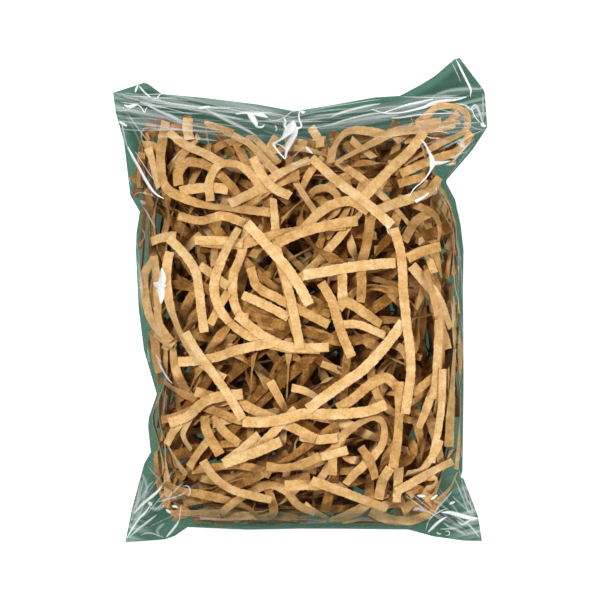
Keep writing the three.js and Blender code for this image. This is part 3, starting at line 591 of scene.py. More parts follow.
fill("front_filling", -1, 750, 0.6, 0.0012, 94)
fill("back_filling", 1, 380, 0.3, 0.0003, 76)
fill("inner_filling", -1, 220, 0.5, 0.0006, 80)
roomy_cells = np.argwhere(roomy & (ceiling - pile > UNCOVERED))
fill("short_filling", 1, 400, 0.25, 0.0002, 400, depth=0.0012, lengths=SHORT_STRIPS)


# Film bag
# A pouch of clear polypropylene film, welded at its sides and its bottom and left open at its top. The two
# sheets are cut a little larger than the filling needs, so they pucker at the welds and crease at the ears.

FILM_INDEX = 1.5
BRIGHTEST_MIRROR = 0.13
STREAK_SLOPE = 0.23
FINENESS = 7
LEAST_FACING = 0.05
SMOOTHING = 40
LIFTING = 3
# Where the film shows a painted sheen: along the mouth and in the ears.
MOUTH_SHEEN = 0.074
MOUTH_LIP = 0.1
EAR_SHEEN_SIDE = 0.066
EAR_SHEEN_TOP = -0.078
SHEEN_FADE = 0.012

film_solid = bmesh.new()
film_solid.from_mesh(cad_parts["film_bag"].data)
bmesh.ops.remove_doubles(film_solid, verts=film_solid.verts, dist=1e-6)


def largest_part(faces):
    """The largest set of the given faces that edges join."""
    left = set(faces)
    parts = []
    while left:
        part, queue = set(), [left.pop()]
        while queue:
            face = queue.pop()
            part.add(face)
            for edge in face.edges:
                for other in edge.link_faces:
                    if other in left:
                        left.remove(other)
                        queue.append(other)
        parts.append(part)
    return max(parts, key=len)


def painted_sheen_mask(x, y):
    """How much painted sheen the film shows, where its creases would mirror the light: most along the mouth
    and in the ears, and hardly over the filling.
    """
    mouth = np.clip((y - MOUTH_SHEEN) / SHEEN_FADE, 0, 1) * np.clip((MOUTH_LIP - y) / 0.004, 0.25, 1)
    ear = np.clip((abs(x) - EAR_SHEEN_SIDE) / 0.01, 0, 1) * np.clip((EAR_SHEEN_TOP - y) / SHEEN_FADE, 0, 1)
    return np.maximum(mouth, ear)


def evened(corners, edges, fixed):
    """The corners, each moved to the middle of the ones that edges join to it, but for the fixed ones."""
    total = np.zeros_like(corners)
    np.add.at(total, edges[:, 0], corners[edges[:, 1]])
    np.add.at(total, edges[:, 1], corners[edges[:, 0]])
    count = np.bincount(edges.ravel(), minlength=len(corners))[:, None]
    return np.where(fixed[:, None], corners, total / count)


def film_sheet(name, way):
    """The bag's outer face at the front (1) or back (-1), finely divided and smoothed inside its edge."""
    sheet = film_solid.copy()
    sheet.normal_update()
    outside = []
    for face in sheet.faces:
        above = face.calc_center_median() + Vector((0, 0, 2e-5 * way))
        if face.normal.z * way > 0 and film_tree.ray_cast(above, Vector((0, 0, way)))[0] is None:
            outside.append(face)
    kept = largest_part(outside)
    queue = list(kept)
    while queue:
        for edge in queue.pop().edges:
            for face in edge.link_faces:
                if face not in kept and face.normal.z * way > LEAST_FACING:
                    kept.add(face)
                    queue.append(face)
    dropped = [face for face in sheet.faces if face not in kept]
    bmesh.ops.delete(sheet, geom=dropped, context="FACES")
    bmesh.ops.subdivide_edges(sheet, edges=sheet.edges, cuts=FINENESS, use_grid_fill=True)
    sheet.verts.index_update()
    corners = np.array([v.co for v in sheet.verts])
    edges = np.array([[v.index for v in edge.verts] for edge in sheet.edges])
    fixed = np.zeros(len(corners), bool)
    fixed[[v.index for edge in sheet.edges if edge.is_boundary for v in edge.verts]] = True
    for _ in range(SMOOTHING):
        corners = evened(corners, edges, fixed)
    solid_face = front_of_bag if way > 0 else back_of_bag
    for _ in range(LIFTING):
        at = np.nan_to_num(solid_face[cells_at(corners[:, 0], corners[:, 1])], nan=-way * FAR)
        lifted = way * np.maximum(way * corners[:, 2], way * at)
        corners[:, 2] = np.where(fixed, corners[:, 2], lifted)
        corners = evened(corners, edges, fixed)
    for v, place in zip(sheet.verts, corners):
        v.co = place
    mesh = bpy.data.meshes.new(name)
    sheet.to_mesh(mesh)
    sheet.free()
    for face in mesh.polygons:
        face.use_smooth = True
    # This attribute is a painted sheen: white mixed into the film where its creases would mirror the light.
    painted_sheen = mesh.attributes.new("painted_sheen", "FLOAT", "POINT")
    painted_sheen.data.foreach_set("value", painted_sheen_mask(corners[:, 0], corners[:, 1]))
    piece = bpy.data.objects.new(name, mesh)
    bpy.context.collection.objects.link(piece)
    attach(piece, "root")
    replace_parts(piece, "film_bag")
    return piece


def wrinkles_group():
    """Node group: the facets of wrinkled film as a normal, and a painted sheen in fine streaks, where
    creases would mirror the light.
    """
    group = bpy.data.node_groups.new("film wrinkles", "ShaderNodeTree")
    group.interface.new_socket("Sheen strength", in_out="INPUT", socket_type="NodeSocketFloat")
    group.interface.new_socket("Painted sheen", in_out="OUTPUT", socket_type="NodeSocketFloat")
    group.interface.new_socket("Normal", in_out="OUTPUT", socket_type="NodeSocketVector")
    nodes, links = group.nodes, group.links
    given = nodes.new("NodeGroupInput")
    result = nodes.new("NodeGroupOutput")
    place = nodes.new("ShaderNodeTexCoord")
    facets = nodes.new("ShaderNodeTexVoronoi")
    facets.inputs["Scale"].default_value = 90
    links.new(place.outputs["Object"], facets.inputs["Vector"])
    bump = nodes.new("ShaderNodeBump")
    bump.inputs["Strength"].default_value = 0.3
    bump.inputs["Distance"].default_value = 0.001
    links.new(facets.outputs["Distance"], bump.inputs["Height"])
    links.new(bump.outputs["Normal"], result.inputs["Normal"])
    part = nodes.new("ShaderNodeSeparateXYZ")
    links.new(place.outputs["Object"], part.inputs["Vector"])
    outward = nodes.new("ShaderNodeMath")
    outward.operation = "ABSOLUTE"
    links.new(part.outputs["X"], outward.inputs[0])
    fall = nodes.new("ShaderNodeMath")
    fall.operation = "MULTIPLY_ADD"
    fall.inputs[1].default_value = -STREAK_SLOPE
    links.new(outward.outputs[0], fall.inputs[0])
    links.new(part.outputs["Y"], fall.inputs[2])
    joined = nodes.new("ShaderNodeCombineXYZ")
    links.new(part.outputs["X"], joined.inputs["X"])
    links.new(fall.outputs[0], joined.inputs["Y"])
    along = nodes.new("ShaderNodeMapping")
    along.inputs["Scale"].default_value = (12, 330, 12)
    links.new(joined.outputs["Vector"], along.inputs["Vector"])
    streaks = nodes.new("ShaderNodeTexNoise")
    streaks.inputs["Scale"].default_value = 1
    streaks.inputs["Detail"].default_value = 3
    links.new(along.outputs["Vector"], streaks.inputs["Vector"])
    spread = nodes.new("ShaderNodeMapRange")
    spread.inputs["From Min"].default_value = 0.44
    spread.inputs["From Max"].default_value = 0.78
    links.new(given.outputs["Sheen strength"], spread.inputs["To Max"])
    links.new(streaks.outputs["Fac"], spread.inputs["Value"])
    where = nodes.new("ShaderNodeAttribute")
    where.attribute_name = "painted_sheen"
    scattered = nodes.new("ShaderNodeMath")
    scattered.operation = "MULTIPLY"
    links.new(spread.outputs["Result"], scattered.inputs[0])
    links.new(where.outputs["Fac"], scattered.inputs[1])
    links.new(scattered.outputs[0], result.inputs["Painted sheen"])
    return group


wrinkles = wrinkles_group()


def film(name, tint, sheen_strength):
    """Thin film that tints the light through it. A little is mirrored, and a painted sheen whitens it along
    its creases.
    """
    material = bpy.data.materials.new(name)
    material.use_nodes = True
    nodes, links = material.node_tree.nodes, material.node_tree.links
    shader = nodes["Principled BSDF"]
    shader.inputs["Base Color"].default_value = (0.93, 0.96, 0.96, 1)
    shader.inputs["Roughness"].default_value = 0.12
    clear = nodes.new("ShaderNodeBsdfTransparent")
    clear.inputs["Color"].default_value = (*tint, 1)
    wrinkled = nodes.new("ShaderNodeGroup")
    wrinkled.node_tree = wrinkles
    wrinkled.inputs["Sheen strength"].default_value = sheen_strength
    links.new(wrinkled.outputs["Normal"], shader.inputs["Normal"])
    side = nodes.new("ShaderNodeNewGeometry")
    index = nodes.new("ShaderNodeMapRange")
    index.inputs["To Min"].default_value = FILM_INDEX
    index.inputs["To Max"].default_value = 1 / FILM_INDEX
    links.new(side.outputs["Backfacing"], index.inputs["Value"])
    mirror = nodes.new("ShaderNodeFresnel")
    links.new(index.outputs["Result"], mirror.inputs["IOR"])
    links.new(wrinkled.outputs["Normal"], mirror.inputs["Normal"])
    glint = nodes.new("ShaderNodeMath")
    glint.operation = "MINIMUM"
    glint.inputs[1].default_value = BRIGHTEST_MIRROR
    links.new(mirror.outputs[0], glint.inputs[0])
    seen = nodes.new("ShaderNodeMath")
    seen.use_clamp = True
    links.new(wrinkled.outputs["Painted sheen"], seen.inputs[0])
    links.new(glint.outputs[0], seen.inputs[1])
    mirrored = nodes.new("ShaderNodeMath")
    mirrored.operation = "DIVIDE"
    links.new(glint.outputs[0], mirrored.inputs[0])
    links.new(seen.outputs[0], mirrored.inputs[1])
    links.new(mirrored.outputs[0], shader.inputs["Metallic"])
    mix = nodes.new("ShaderNodeMixShader")
    links.new(seen.outputs[0], mix.inputs["Fac"])
    links.new(clear.outputs[0], mix.inputs[1])
    links.new(shader.outputs[0], mix.inputs[2])
    links.new(mix.outputs[0], nodes["Material Output"].inputs["Surface"])
    return material


film_front = film_sheet("film_front", 1)
film_back = film_sheet("film_back", -1)
film_front.data.materials.append(film("clear film", (0.97, 0.98, 0.975), 0.5))
film_back.data.materials.append(film("green film", (0.078, 0.172, 0.125), 0.1))
film_solid.free()


# Creases of the front film
# Where thin film is folded it stands up as a low ridge. Its white is a painted highlight, where the fold
# would catch the light. Along the bottom a dark band is painted shade, where the bag's underside lies in
# shadow. Each row follows a fold in the photograph: its middle line in millimetres from the bag's middle,
# its width, and how strongly it shows.

HIGHLIGHT_PATCHES = [
    ([(-2.9, 81.2, 0.5), (-3.3, 79.2, 4), (-4.5, 77, 5.9), (-6, 75.2, 4), (-7.8, 72.9, 1.8),
      (-10.1, 71.1, 1.1), (-11.9, 69.8, 1.1), (-9.6, 66.2, 0.9), (-6.7, 62.8, 0.7)], 1),
    ([(-1.5, 78.3, 1.8), (-2.2, 74.7, 2.5), (-3.8, 72, 3.1), (-5.4, 68.9, 2.9), (-6.1, 66.2, 1.6),
      (-6.5, 63, 0.7)], 1),
    ([(-7.4, 80.1, 0.5), (-6.5, 77.9, 1.1), (-5.6, 76, 1.4)], 0.95),
    ([(-11.4, 70.2, 0.4), (-8.7, 69.3, 0.5), (-6.5, 67.5, 0.9)], 0.9),
    ([(-0.2, 86, 0.5), (-0.5, 82.4, 0.8), (0.6, 78.5, 1.1), (-1.1, 77.4, 1.4)], 1),
    ([(0.3, 85.5, 0.7), (1.2, 84.8, 1.8), (2.5, 85, 0.3)], 1),
    ([(-29, 83.9, 0.4), (-24.5, 84.4, 1.1), (-20.9, 84, 1.4), (-17.3, 83.5, 2.2),
      (-14.6, 82.4, 0.5)], 0.95),
    ([(-23.6, 84.2, 0.9), (-21.8, 82.4, 3.1), (-20.2, 80.1, 2.7), (-19.3, 78.1, 1.1),
      (-17.3, 77.9, 1.2), (-15.9, 79, 0.3)], 0.95),
    ([(53.8, 71.8, 0.4), (55.6, 70, 1.1), (57.4, 66.6, 1.1), (58.8, 63, 2.7), (59, 60.3, 2.9),
      (58.3, 58.1, 1.4), (57, 55.8, 0.9), (54.3, 52.6, 0.6), (50.7, 49.5, 0.6),
      (48.4, 45.9, 0.4)], 0.97),
    ([(58.3, 60.8, 2.7), (61, 61.1, 2.2), (63.7, 61.4, 1.5), (67.3, 62.3, 0.4)], 0.97),
    ([(67.3, 63.5, 0.5), (69.6, 64.1, 1.4), (71.8, 65.5, 0.7), (75.9, 67, 0.2)], 0.6),
    ([(65.5, 60.5, 0.5), (68.2, 61, 1.3), (70, 61.4, 0.4)], 0.55),
    ([(70.9, 71.8, 0.9), (72.7, 71.1, 2.5), (74.1, 68.6, 0.4)], 0.35),
    ([(57.4, 47.7, 0.7), (54.7, 45.7, 1.4), (51.1, 43.6, 1.8)], 1),
    ([(32.2, 86, 0.4), (38.5, 84.2, 0.7), (44.8, 84.4, 0.8), (50.2, 85.5, 1), (55.6, 86.9, 1.4),
      (60.1, 88.7, 2.2), (65.1, 89.8, 2), (70.9, 90.5, 1.2), (75, 91.6, 0.5)], 0.97),
    ([(37.2, 84.2, 0.5), (44.8, 86.9, 0.7), (49.3, 88.3, 1.1), (53.8, 89.3, 0.9),
      (60.1, 90.7, 0.4)], 0.95),
    ([(41.2, 81.9, 0.5), (44.8, 82.1, 0.8), (49.3, 82.8, 0.9), (53.8, 83.5, 0.6), (61, 84, 0.5),
      (68.2, 84.2, 0.4)], 0.85),
    ([(77.2, 86.4, 0.5), (78.6, 87.8, 1.6), (79.9, 86.9, 1.9), (81.3, 83.7, 1.4), (82.2, 80.5, 1.2),
      (83.5, 78.5, 0.7)], 0.6),
    ([(77.4, 86, 0.5), (78.8, 82.8, 0.5), (80.8, 80.3, 0.4)], 1),
    ([(-79.4, 88, 0.5), (-77.6, 87.3, 1.5), (-75.8, 87.5, 1.9), (-73.5, 88.2, 0.7)], 0.9),
    ([(-73.5, 88.2, 0.5), (-71.7, 86.9, 0.6), (-70.2, 84.6, 0.7), (-69.5, 86, 0.5),
      (-69, 86.9, 0.3)], 0.85),
    ([(-72.2, 89.3, 1.1), (-68.6, 88.4, 1.9), (-65, 87.3, 1.4), (-60.5, 86.6, 0.5)], 0.5),
    ([(-68.6, 87.8, 0.9), (-63.2, 85, 1.6), (-57.8, 82.8, 2), (-52.8, 80.3, 0.7)], 0.5),
    ([(-81.6, 80.5, 0.7), (-79.4, 79.2, 1.5), (-77.9, 78.4, 0.4)], 0.9),
    ([(-80.3, 78.8, 0.9), (-79.4, 74.7, 1.1), (-78.5, 71.1, 1), (-77.4, 68.4, 0.5)], 0.45),
    ([(-77.6, 68.9, 0.7), (-74.9, 63.9, 1.4), (-71.7, 58.5, 1.5), (-68.6, 53.1, 1.6),
      (-65.9, 49.1, 1.2), (-63.6, 46.8, 0.9), (-60.5, 45, 0.5)], 1),
    ([(-74, 66.6, 0.3), (-71.3, 62.6, 0.6), (-67.7, 57.1, 0.6), (-65, 53.6, 0.4)], 0.6),
]
CREASES = [
    ([(-73.1, 97.2), (-74, 95.4), (-74.4, 93.6)], 1.1, 1),
    ([(-73.1, 97.2), (-70.4, 94), (-66.8, 90.9)], 0.9, 0.9),
    ([(-66.8, 90.9), (-65, 90.9), (-63.2, 92.7), (-61.8, 93.6)], 0.7, 0.8),
    ([(-65, 90.9), (-63.6, 90.5), (-62.3, 89.5)], 0.5, 0.7),
    ([(-83.9, 93.6), (-77.6, 92.2), (-72.2, 91.8), (-67.7, 91.8)], 0.7, 0.4),
    ([(-67.7, 90.5), (-54.2, 88.2), (-45.2, 86.9), (-33.9, 86.4), (-24.9, 84.6),
      (-22.7, 82.8)], 1.1, 0.55),
    ([(-46.1, 86.4), (-43.4, 86.9), (-40.2, 87.3)], 1.4, 0.9),
    ([(-42.9, 86.4), (-33.9, 81.5), (-24.9, 77), (-19.1, 73.4)], 2.2, 0.5),
    ([(-63.2, 89.1), (-45.2, 87.3), (-27.2, 86.4), (-8.3, 82.4)], 0.9, 0.35),
    ([(-83, 85.5), (-78.5, 85.5), (-74.9, 87.3)], 0.5, 0.7),
    ([(-81.6, 89.5), (-76.7, 88.7), (-72.2, 88.7)], 0.8, 0.6),
    ([(-78.5, 65.2), (-77.1, 56.2), (-75.8, 50.9)], 0.9, 0.4),
    ([(-71.7, 44.6), (-70.4, 43.6), (-69, 43.2)], 2.2, 0.55),
    ([(-70.4, 41.9), (-67.7, 37.8), (-64.1, 31.5)], 1, 0.5),
    ([(-75.8, 46.4), (-72.2, 48.1), (-67.7, 47.2), (-64.1, 45.5)], 0.7, 0.4),
    ([(-15.5, 81.9), (-11.4, 81), (-7.4, 82.4), (-3.8, 85), (-0.6, 86.4)], 0.7, 0.55),
    ([(-7.4, 82.4), (-6.5, 80.5), (-7.4, 77.9)], 1.1, 0.8),
    ([(-11.4, 79.2), (-10.5, 77), (-11.4, 76)], 1.1, 0.6),
    ([(2.5, 68.9), (3.9, 67), (5.7, 65.2)], 1.4, 0.9),
    ([(2.5, 68.9), (-0.2, 66.6), (-3.8, 63)], 0.8, 0.35),
    ([(-4.2, 61.2), (-1.1, 60.3), (3.4, 62.1)], 1.6, 0.4),
    ([(0.7, 77.4), (11.1, 78.3), (20.1, 81), (31.3, 83.7), (42.6, 84.6)], 1.2, 0.6),
    ([(13.3, 78.3), (22.3, 80.5), (33.6, 82.4), (44.8, 83.2)], 2.2, 0.35),
    ([(13.3, 82.4), (20.1, 85), (29.1, 87.3), (36.7, 88.7)], 1.6, 0.7),
    ([(1.2, 82.4), (13.3, 83.7), (23.2, 85)], 0.6, 0.4),
    ([(8.8, 86.9), (20.1, 88.2), (31.3, 90), (36.7, 90.5)], 0.6, 0.45),
    ([(44.8, 91.8), (58.3, 91.4), (71.8, 91.4), (76.8, 92.2)], 0.7, 0.6),
    ([(58.3, 91.4), (67.3, 94.5), (76.3, 95.4), (82.6, 95.4)], 2.2, 0.3),
    ([(70.5, 108.9), (73.6, 102.6), (76.3, 97.2), (77.2, 94.5), (76.8, 91.4)], 1.2, 1),
    ([(68.2, 108), (70.9, 102.6), (72.7, 98.1)], 0.6, 0.5),
    ([(72.3, 108.9), (76.3, 103.5), (79.9, 98.1), (82.6, 95)], 1.8, 0.35),
    ([(69.6, 88.7), (74.5, 87.8), (77.2, 86), (79.9, 87.3)], 1.2, 0.7),
    ([(81.3, 79.7), (82.6, 78.8), (84, 78.3)], 1.8, 1),
    ([(82.6, 93.6), (82.6, 87.8), (82.6, 81)], 0.9, 0.4),
    ([(72.3, 81.9), (78.6, 77.4), (84, 77)], 0.6, 0.4),
    ([(84, 77), (77.2, 74.2), (71.8, 70.7)], 0.7, 0.4),
    ([(70.5, 70.7), (72.3, 69.8), (74.1, 68)], 2.2, 0.5),
    ([(39.4, 33.3), (38.5, 31.1), (39.9, 28.4)], 0.8, 0.7),
    ([(59.7, 75.2), (62.8, 75.6), (67.3, 74.7)], 0.8, 0.7),
    ([(56.1, 73.4), (59.2, 72.5), (63.3, 72.5)], 0.8, 0.7),
    ([(60.6, 51.8), (61, 48.1), (59.2, 46.8)], 0.8, 0.6),
    ([(-61.4, 14.4), (-60.9, 9.9), (-61.8, 5.9), (-61.4, 1.8), (-61.8, -1.8)], 4, 0.9),
    ([(-65.4, 7.7), (-62.3, 6.3), (-59.1, 6.3)], 3.1, 0.8),
    ([(-63.6, -26.6), (-61.8, -30.2), (-58.7, -35.1), (-56.4, -37.4)], 1.1, 0.8),
    ([(-64.5, -24.3), (-63.2, -26.1), (-61.8, -27.9)], 1.6, 0.6),
    ([(-73.5, 27), (-72.2, 18), (-72.2, 4.5), (-70.4, -6.8)], 0.8, 0.35),
    ([(-71.3, 32.4), (-69.5, 28.8), (-72.2, 24.3)], 0.9, 0.3),
    ([(-78.5, -108), (-75.3, -102.6), (-72.2, -98.1), (-69.5, -95.4), (-66.8, -91.4)], 1.1, 0.9),
    ([(-74.9, -96.3), (-71.3, -92.2), (-67.7, -89.1), (-64.1, -86), (-61.4, -82.8)], 1.5, 1),
    ([(-75.8, -95.4), (-72.2, -90), (-67.7, -83.2), (-65.4, -81)], 1.4, 0.4),
    ([(-77.6, -107.5), (-72.2, -102.6), (-67.7, -99), (-64.1, -96.3)], 1.2, 0.7),
    ([(-64.1, -90.5), (-59.6, -89.1), (-54.2, -87.3), (-50.6, -85.5)], 1.1, 0.6),
    ([(-68.1, -90.5), (-67.2, -91.4), (-66.3, -92.2)], 2.2, 0.8),
    ([(-67.7, -93.2), (-64.1, -93.6), (-60.5, -91.8)], 2.7, 0.4),
    ([(-60.5, -107.1), (-57.8, -104), (-55.1, -100.4), (-54.2, -98.5)], 1.3, 1),
    ([(-63.2, -107.1), (-64.1, -103.5), (-60.5, -99.9)], 1.8, 0.35),
    ([(-57.3, -92.2), (-56, -92.2), (-54.6, -92.7)], 1.4, 0.9),
    ([(-60, -93.6), (-59.1, -94.5), (-57.8, -95.4)], 1.4, 0.9),
    ([(-72.2, -76.5), (-69.5, -81), (-69, -85.5), (-71.3, -90)], 1.8, 0.35),
    ([(-68.6, -74.2), (-65, -77.9), (-62.3, -80.1)], 0.7, 0.4),
    ([(-72.2, -106.2), (-67.7, -104.9), (-60.9, -107.1)], 0.9, 0.5),
    ([(-52.8, -90.9), (-53.7, -95.4), (-54.2, -99), (-56.4, -99)], 0.7, 0.6),
    ([(-52.4, -82.8), (-49.7, -82.8), (-48.8, -85.5), (-50.1, -87.8)], 0.8, 0.7),
    ([(63.3, -95), (67.3, -95.4), (71.8, -96.8), (76.3, -98.1), (80.4, -98.5)], 2.2, 1),
    ([(57.4, -104.9), (59.7, -102.2), (61.9, -99.9), (64.2, -98.1), (66, -97.2)], 1.6, 1),
    ([(56.5, -104), (57.4, -99.9), (59.2, -96.8), (62.8, -94.5), (66.4, -93.2)], 0.9, 0.6),
    ([(60.1, -95.4), (62.8, -91.4), (65.5, -88.7), (68.2, -85.5)], 1.4, 0.45),
    ([(66.9, -91.4), (68.2, -90.9), (69.6, -90.5)], 1.4, 0.8),
    ([(70.5, -99), (73.2, -101.2), (76.3, -99.5), (80.4, -99)], 1.2, 0.7),
    ([(74.5, -99), (77.2, -102.2), (80.8, -107.1)], 0.7, 0.5),
    ([(64.2, -99.9), (67.3, -102.2), (70.9, -103.5), (74.5, -105.8)], 1.8, 0.4),
    ([(62.8, -103), (67.3, -103), (70.9, -102.6)], 0.9, 0.6),
    ([(65.1, -104.4), (66.9, -104), (67.3, -105.8), (65.5, -106.2)], 0.8, 0.7),
    ([(61.5, -104.4), (62.4, -105.3), (63.7, -105.3)], 1.4, 0.6),
    ([(72.7, -82.4), (74.1, -86.4), (75.4, -90), (78.6, -95.4)], 0.9, 0.4),
    ([(68.2, -87.8), (72.7, -92.2), (78.1, -96.8)], 1.4, 0.3),
    ([(81.7, -108), (78.1, -103.5), (72.7, -99), (68.2, -95.4)], 0.9, 0.4),
    ([(52, -86.9), (53.8, -87.3), (56.1, -87.3)], 1.5, 0.8),
    ([(58.3, -89.1), (59.7, -88.2), (61.5, -86.9)], 1.4, 0.9),
    ([(50.2, -94), (52.9, -93.2), (56.1, -94.5)], 2.7, 0.4),
    ([(68.7, 13.5), (69.1, 6.8), (70.9, -0.9)], 0.8, 0.4),
    ([(67.3, 0), (68.2, -6.8), (68.2, -13.5)], 1.4, 0.25),
    ([(70.9, 27), (72.3, 13.5), (72.7, 0)], 0.6, 0.35),
]
# A dark band of film along the bottom: painted shade, where the bag's underside lies in shadow.
SHADE_BAND = [
    ([(-57, -86, 2), (-48, -91.5, 6), (-36, -95.5, 9.5), (-20, -96.8, 10.5), (0, -97, 10.5), (20, -97, 10.5),
      (38, -97.2, 9.5), (50, -98, 6), (58, -99, 2)], 0.42),
    ([(-47, -100.8, 1), (-40, -100.9, 3), (-20, -101, 3.2), (0, -101, 3.2), (20, -101, 3.2), (40, -101.2, 3),
      (48, -101.5, 1)], 0.6),
]
RIDGE_STEP = 0.0005
RIDGE_SHARE = 0.16
RIDGE_GAP = 0.00008
LEAST_RIDGE = 0.00005
HIGHEST_RIDGE = 0.0003
RIDGE_COLUMNS = np.array([-1, -0.6, -0.25, 0, 0.25, 0.6, 1])
# How strongly the painted highlight or painted shade shows across a ridge, from edge to edge.
SOFT_RIDGE = np.array([0, 0.45, 0.9, 1, 0.9, 0.45, 0])
CRISP_RIDGE = np.array([0, 0.9, 1, 1, 1, 0.9, 0])
CRISP_FROM = 0.75


def tree_of(*pieces):
    """A search tree over the surface of some pieces, whose objects stand at the origin."""
    places, faces = [], []
    for piece in pieces:
        base = len(places)
        places.extend(vertex.co.copy() for vertex in piece.data.vertices)
        faces.extend(tuple(base + n for n in face.vertices) for face in piece.data.polygons)
    return bvhtree.BVHTree.FromPolygons(places, faces)


def fold_streaks_group():
    """Node group: how strongly a fold's painted highlight or painted shade shows, from its attribute and
    fine streaks that run along it.
    """
    group = bpy.data.node_groups.new("fold streaks", "ShaderNodeTree")
    group.interface.new_socket("Faintest", in_out="INPUT", socket_type="NodeSocketFloat")
    group.interface.new_socket("Share", in_out="OUTPUT", socket_type="NodeSocketFloat")
    nodes, links = group.nodes, group.links
    given = nodes.new("NodeGroupInput")
    result = nodes.new("NodeGroupOutput")
    white = nodes.new("ShaderNodeAttribute")
    white.attribute_name = "white"
    place = nodes.new("ShaderNodeUVMap")
    place.uv_map = "Fold"
    stretch = nodes.new("ShaderNodeMapping")
    stretch.inputs["Scale"].default_value = (60, 1400, 1)
    streaks = nodes.new("ShaderNodeTexNoise")
    streaks.inputs["Scale"].default_value = 1
    streaks.inputs["Detail"].default_value = 3
    links.new(place.outputs["UV"], stretch.inputs["Vector"])
    links.new(stretch.outputs["Vector"], streaks.inputs["Vector"])
    fleck = nodes.new("ShaderNodeMapRange")
    fleck.inputs["From Min"].default_value = 0.3
    fleck.inputs["From Max"].default_value = 0.62
    fleck.inputs["To Max"].default_value = 1.1
    links.new(given.outputs["Faintest"], fleck.inputs["To Min"])
    links.new(streaks.outputs["Fac"], fleck.inputs["Value"])
    share = nodes.new("ShaderNodeMath")
    share.operation = "MULTIPLY"
    share.use_clamp = True
    links.new(white.outputs["Fac"], share.inputs[0])
    links.new(fleck.outputs["Result"], share.inputs[1])
    links.new(share.outputs[0], result.inputs["Share"])
    return group


fold_streaks = fold_streaks_group()


def painted_fold_film(name, colour, roughness):
    """Film that shows a painted colour along the folds and is clear beside them: white for a painted
    highlight, dark for painted shade.
    """
    material = bpy.data.materials.new(name)
    material.use_nodes = True
    nodes, links = material.node_tree.nodes, material.node_tree.links
    shader = nodes["Principled BSDF"]
    shader.inputs["Base Color"].default_value = (*colour, 1)
    shader.inputs["Roughness"].default_value = roughness
    clear = nodes.new("ShaderNodeBsdfTransparent")
    streaked = nodes.new("ShaderNodeGroup")
    streaked.node_tree = fold_streaks
    streaked.inputs["Faintest"].default_value = 0.6
    mix = nodes.new("ShaderNodeMixShader")
    links.new(streaked.outputs["Share"], mix.inputs["Fac"])
    links.new(clear.outputs[0], mix.inputs[1])
    links.new(shader.outputs[0], mix.inputs[2])
    links.new(mix.outputs[0], nodes["Material Output"].inputs["Surface"])
    return material


def tapered(folds):
    """Folds that are widest in their middle, with a width at each point."""
    made = []
    for points, width, strength in folds:
        path = even_steps(np.array(points, float), 1)
        taper = np.minimum(1.25 * np.sin(math.pi * np.linspace(0, 1, len(path))), 1) ** 0.7 + 0.02
        made.append((np.column_stack([path, width * taper]), strength))
    return made


def add_ridges(name, folds, material):
    """Makes folds into one piece of low ridges that lie on the front film."""
    corners, faces, white, fold_map = [], [], [], []
    for points, strength in folds:
        path = even_steps(np.array(points, float) / 1000, RIDGE_STEP)
        side = plan_frame(path)
        profile = CRISP_RIDGE if strength > CRISP_FROM else SOFT_RIDGE
        rings = []
        for k in range(len(path)):
            ring = []
            width = max(path[k, 2], LEAST_RIDGE)
            for column, painted_share in zip(RIDGE_COLUMNS, profile):
                x, y = path[k, :2] + side[k] * column * width / 2
                hit = film_surface.ray_cast(Vector((x, y, FAR)), Vector((0, 0, -1)))[0]
                if hit is None:
                    ring = None
                    break
                rise = RIDGE_GAP + (1 - abs(column)) * min(RIDGE_SHARE * width, HIGHEST_RIDGE)
                ring.append(((x, y, hit.z + rise), painted_share * strength))
            rings.append(ring)
        for k, ring in enumerate(rings):
            if ring is None:
                continue
            start = len(corners)
            corners.extend(corner for corner, _ in ring)
            white.extend(painted_share for _, painted_share in ring)
            if k and rings[k - 1] is not None:
                for n in range(len(ring) - 1):
                    here, before = start + n, start + n - len(ring)
                    faces.append((before, here, here + 1, before + 1))
                    u, v = k * RIDGE_STEP, RIDGE_COLUMNS[n] * width / 2
                    beyond = RIDGE_COLUMNS[n + 1] * width / 2
                    fold_map.extend([(u - RIDGE_STEP, v), (u, v), (u, beyond), (u - RIDGE_STEP, beyond)])
    mesh = bpy.data.meshes.new(name)
    mesh.from_pydata(corners, [], faces)
    # This attribute is how strongly a ridge's painted highlight or painted shade shows.
    mesh.attributes.new("white", "FLOAT", "POINT").data.foreach_set("value", white)
    mesh.uv_layers.new(name="Fold").data.foreach_set("uv", np.array(fold_map).ravel())
    for face in mesh.polygons:
        face.use_smooth = True
    mesh.materials.append(material)
    piece = bpy.data.objects.new(name, mesh)
    bpy.context.collection.objects.link(piece)
    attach(piece, "root")


def fan(middle, toward, spread, near, far, count):
    """Faint folds that run out from a point, in degrees and millimetres."""
    folds = []
    for _ in range(count):
        heading = math.radians(toward + random.uniform(-spread, spread))
        start = random.uniform(*near)
        end = start + random.uniform(*far)
        bow = random.normal(0, 0.06)
        points = []
        for reach in (start, (start + end) / 2, end):
            turn = heading + bow * (reach - start) / (end - start)
            points.append((middle[0] + reach * math.cos(turn), middle[1] + reach * math.sin(turn)))
        folds.append((points, random.uniform(0.3, 1.2), random.uniform(0.1, 0.45)))
    return folds


def band(start, end, depth, length, count):
    """Faint folds along a line, up to the given depth beside it, in millimetres."""
    start, end = np.array(start, float), np.array(end, float)
    along = (end - start) / np.linalg.norm(end - start)
    beside = np.array([along[1], -along[0]])
    folds = []
    for _ in range(count):
        middle = start + (end - start) * random.uniform(0, 1) + beside * random.uniform(0, depth)
        half = random.uniform(*length) / 2
        tilt = along + beside * random.normal(0, 0.05)
        bow = beside * random.normal(0, 0.8)
        points = [tuple(middle - tilt * half), tuple(middle + bow), tuple(middle + tilt * half)]
        folds.append((points, random.uniform(0.3, 1.6), random.uniform(0.08, 0.4)))
    return folds


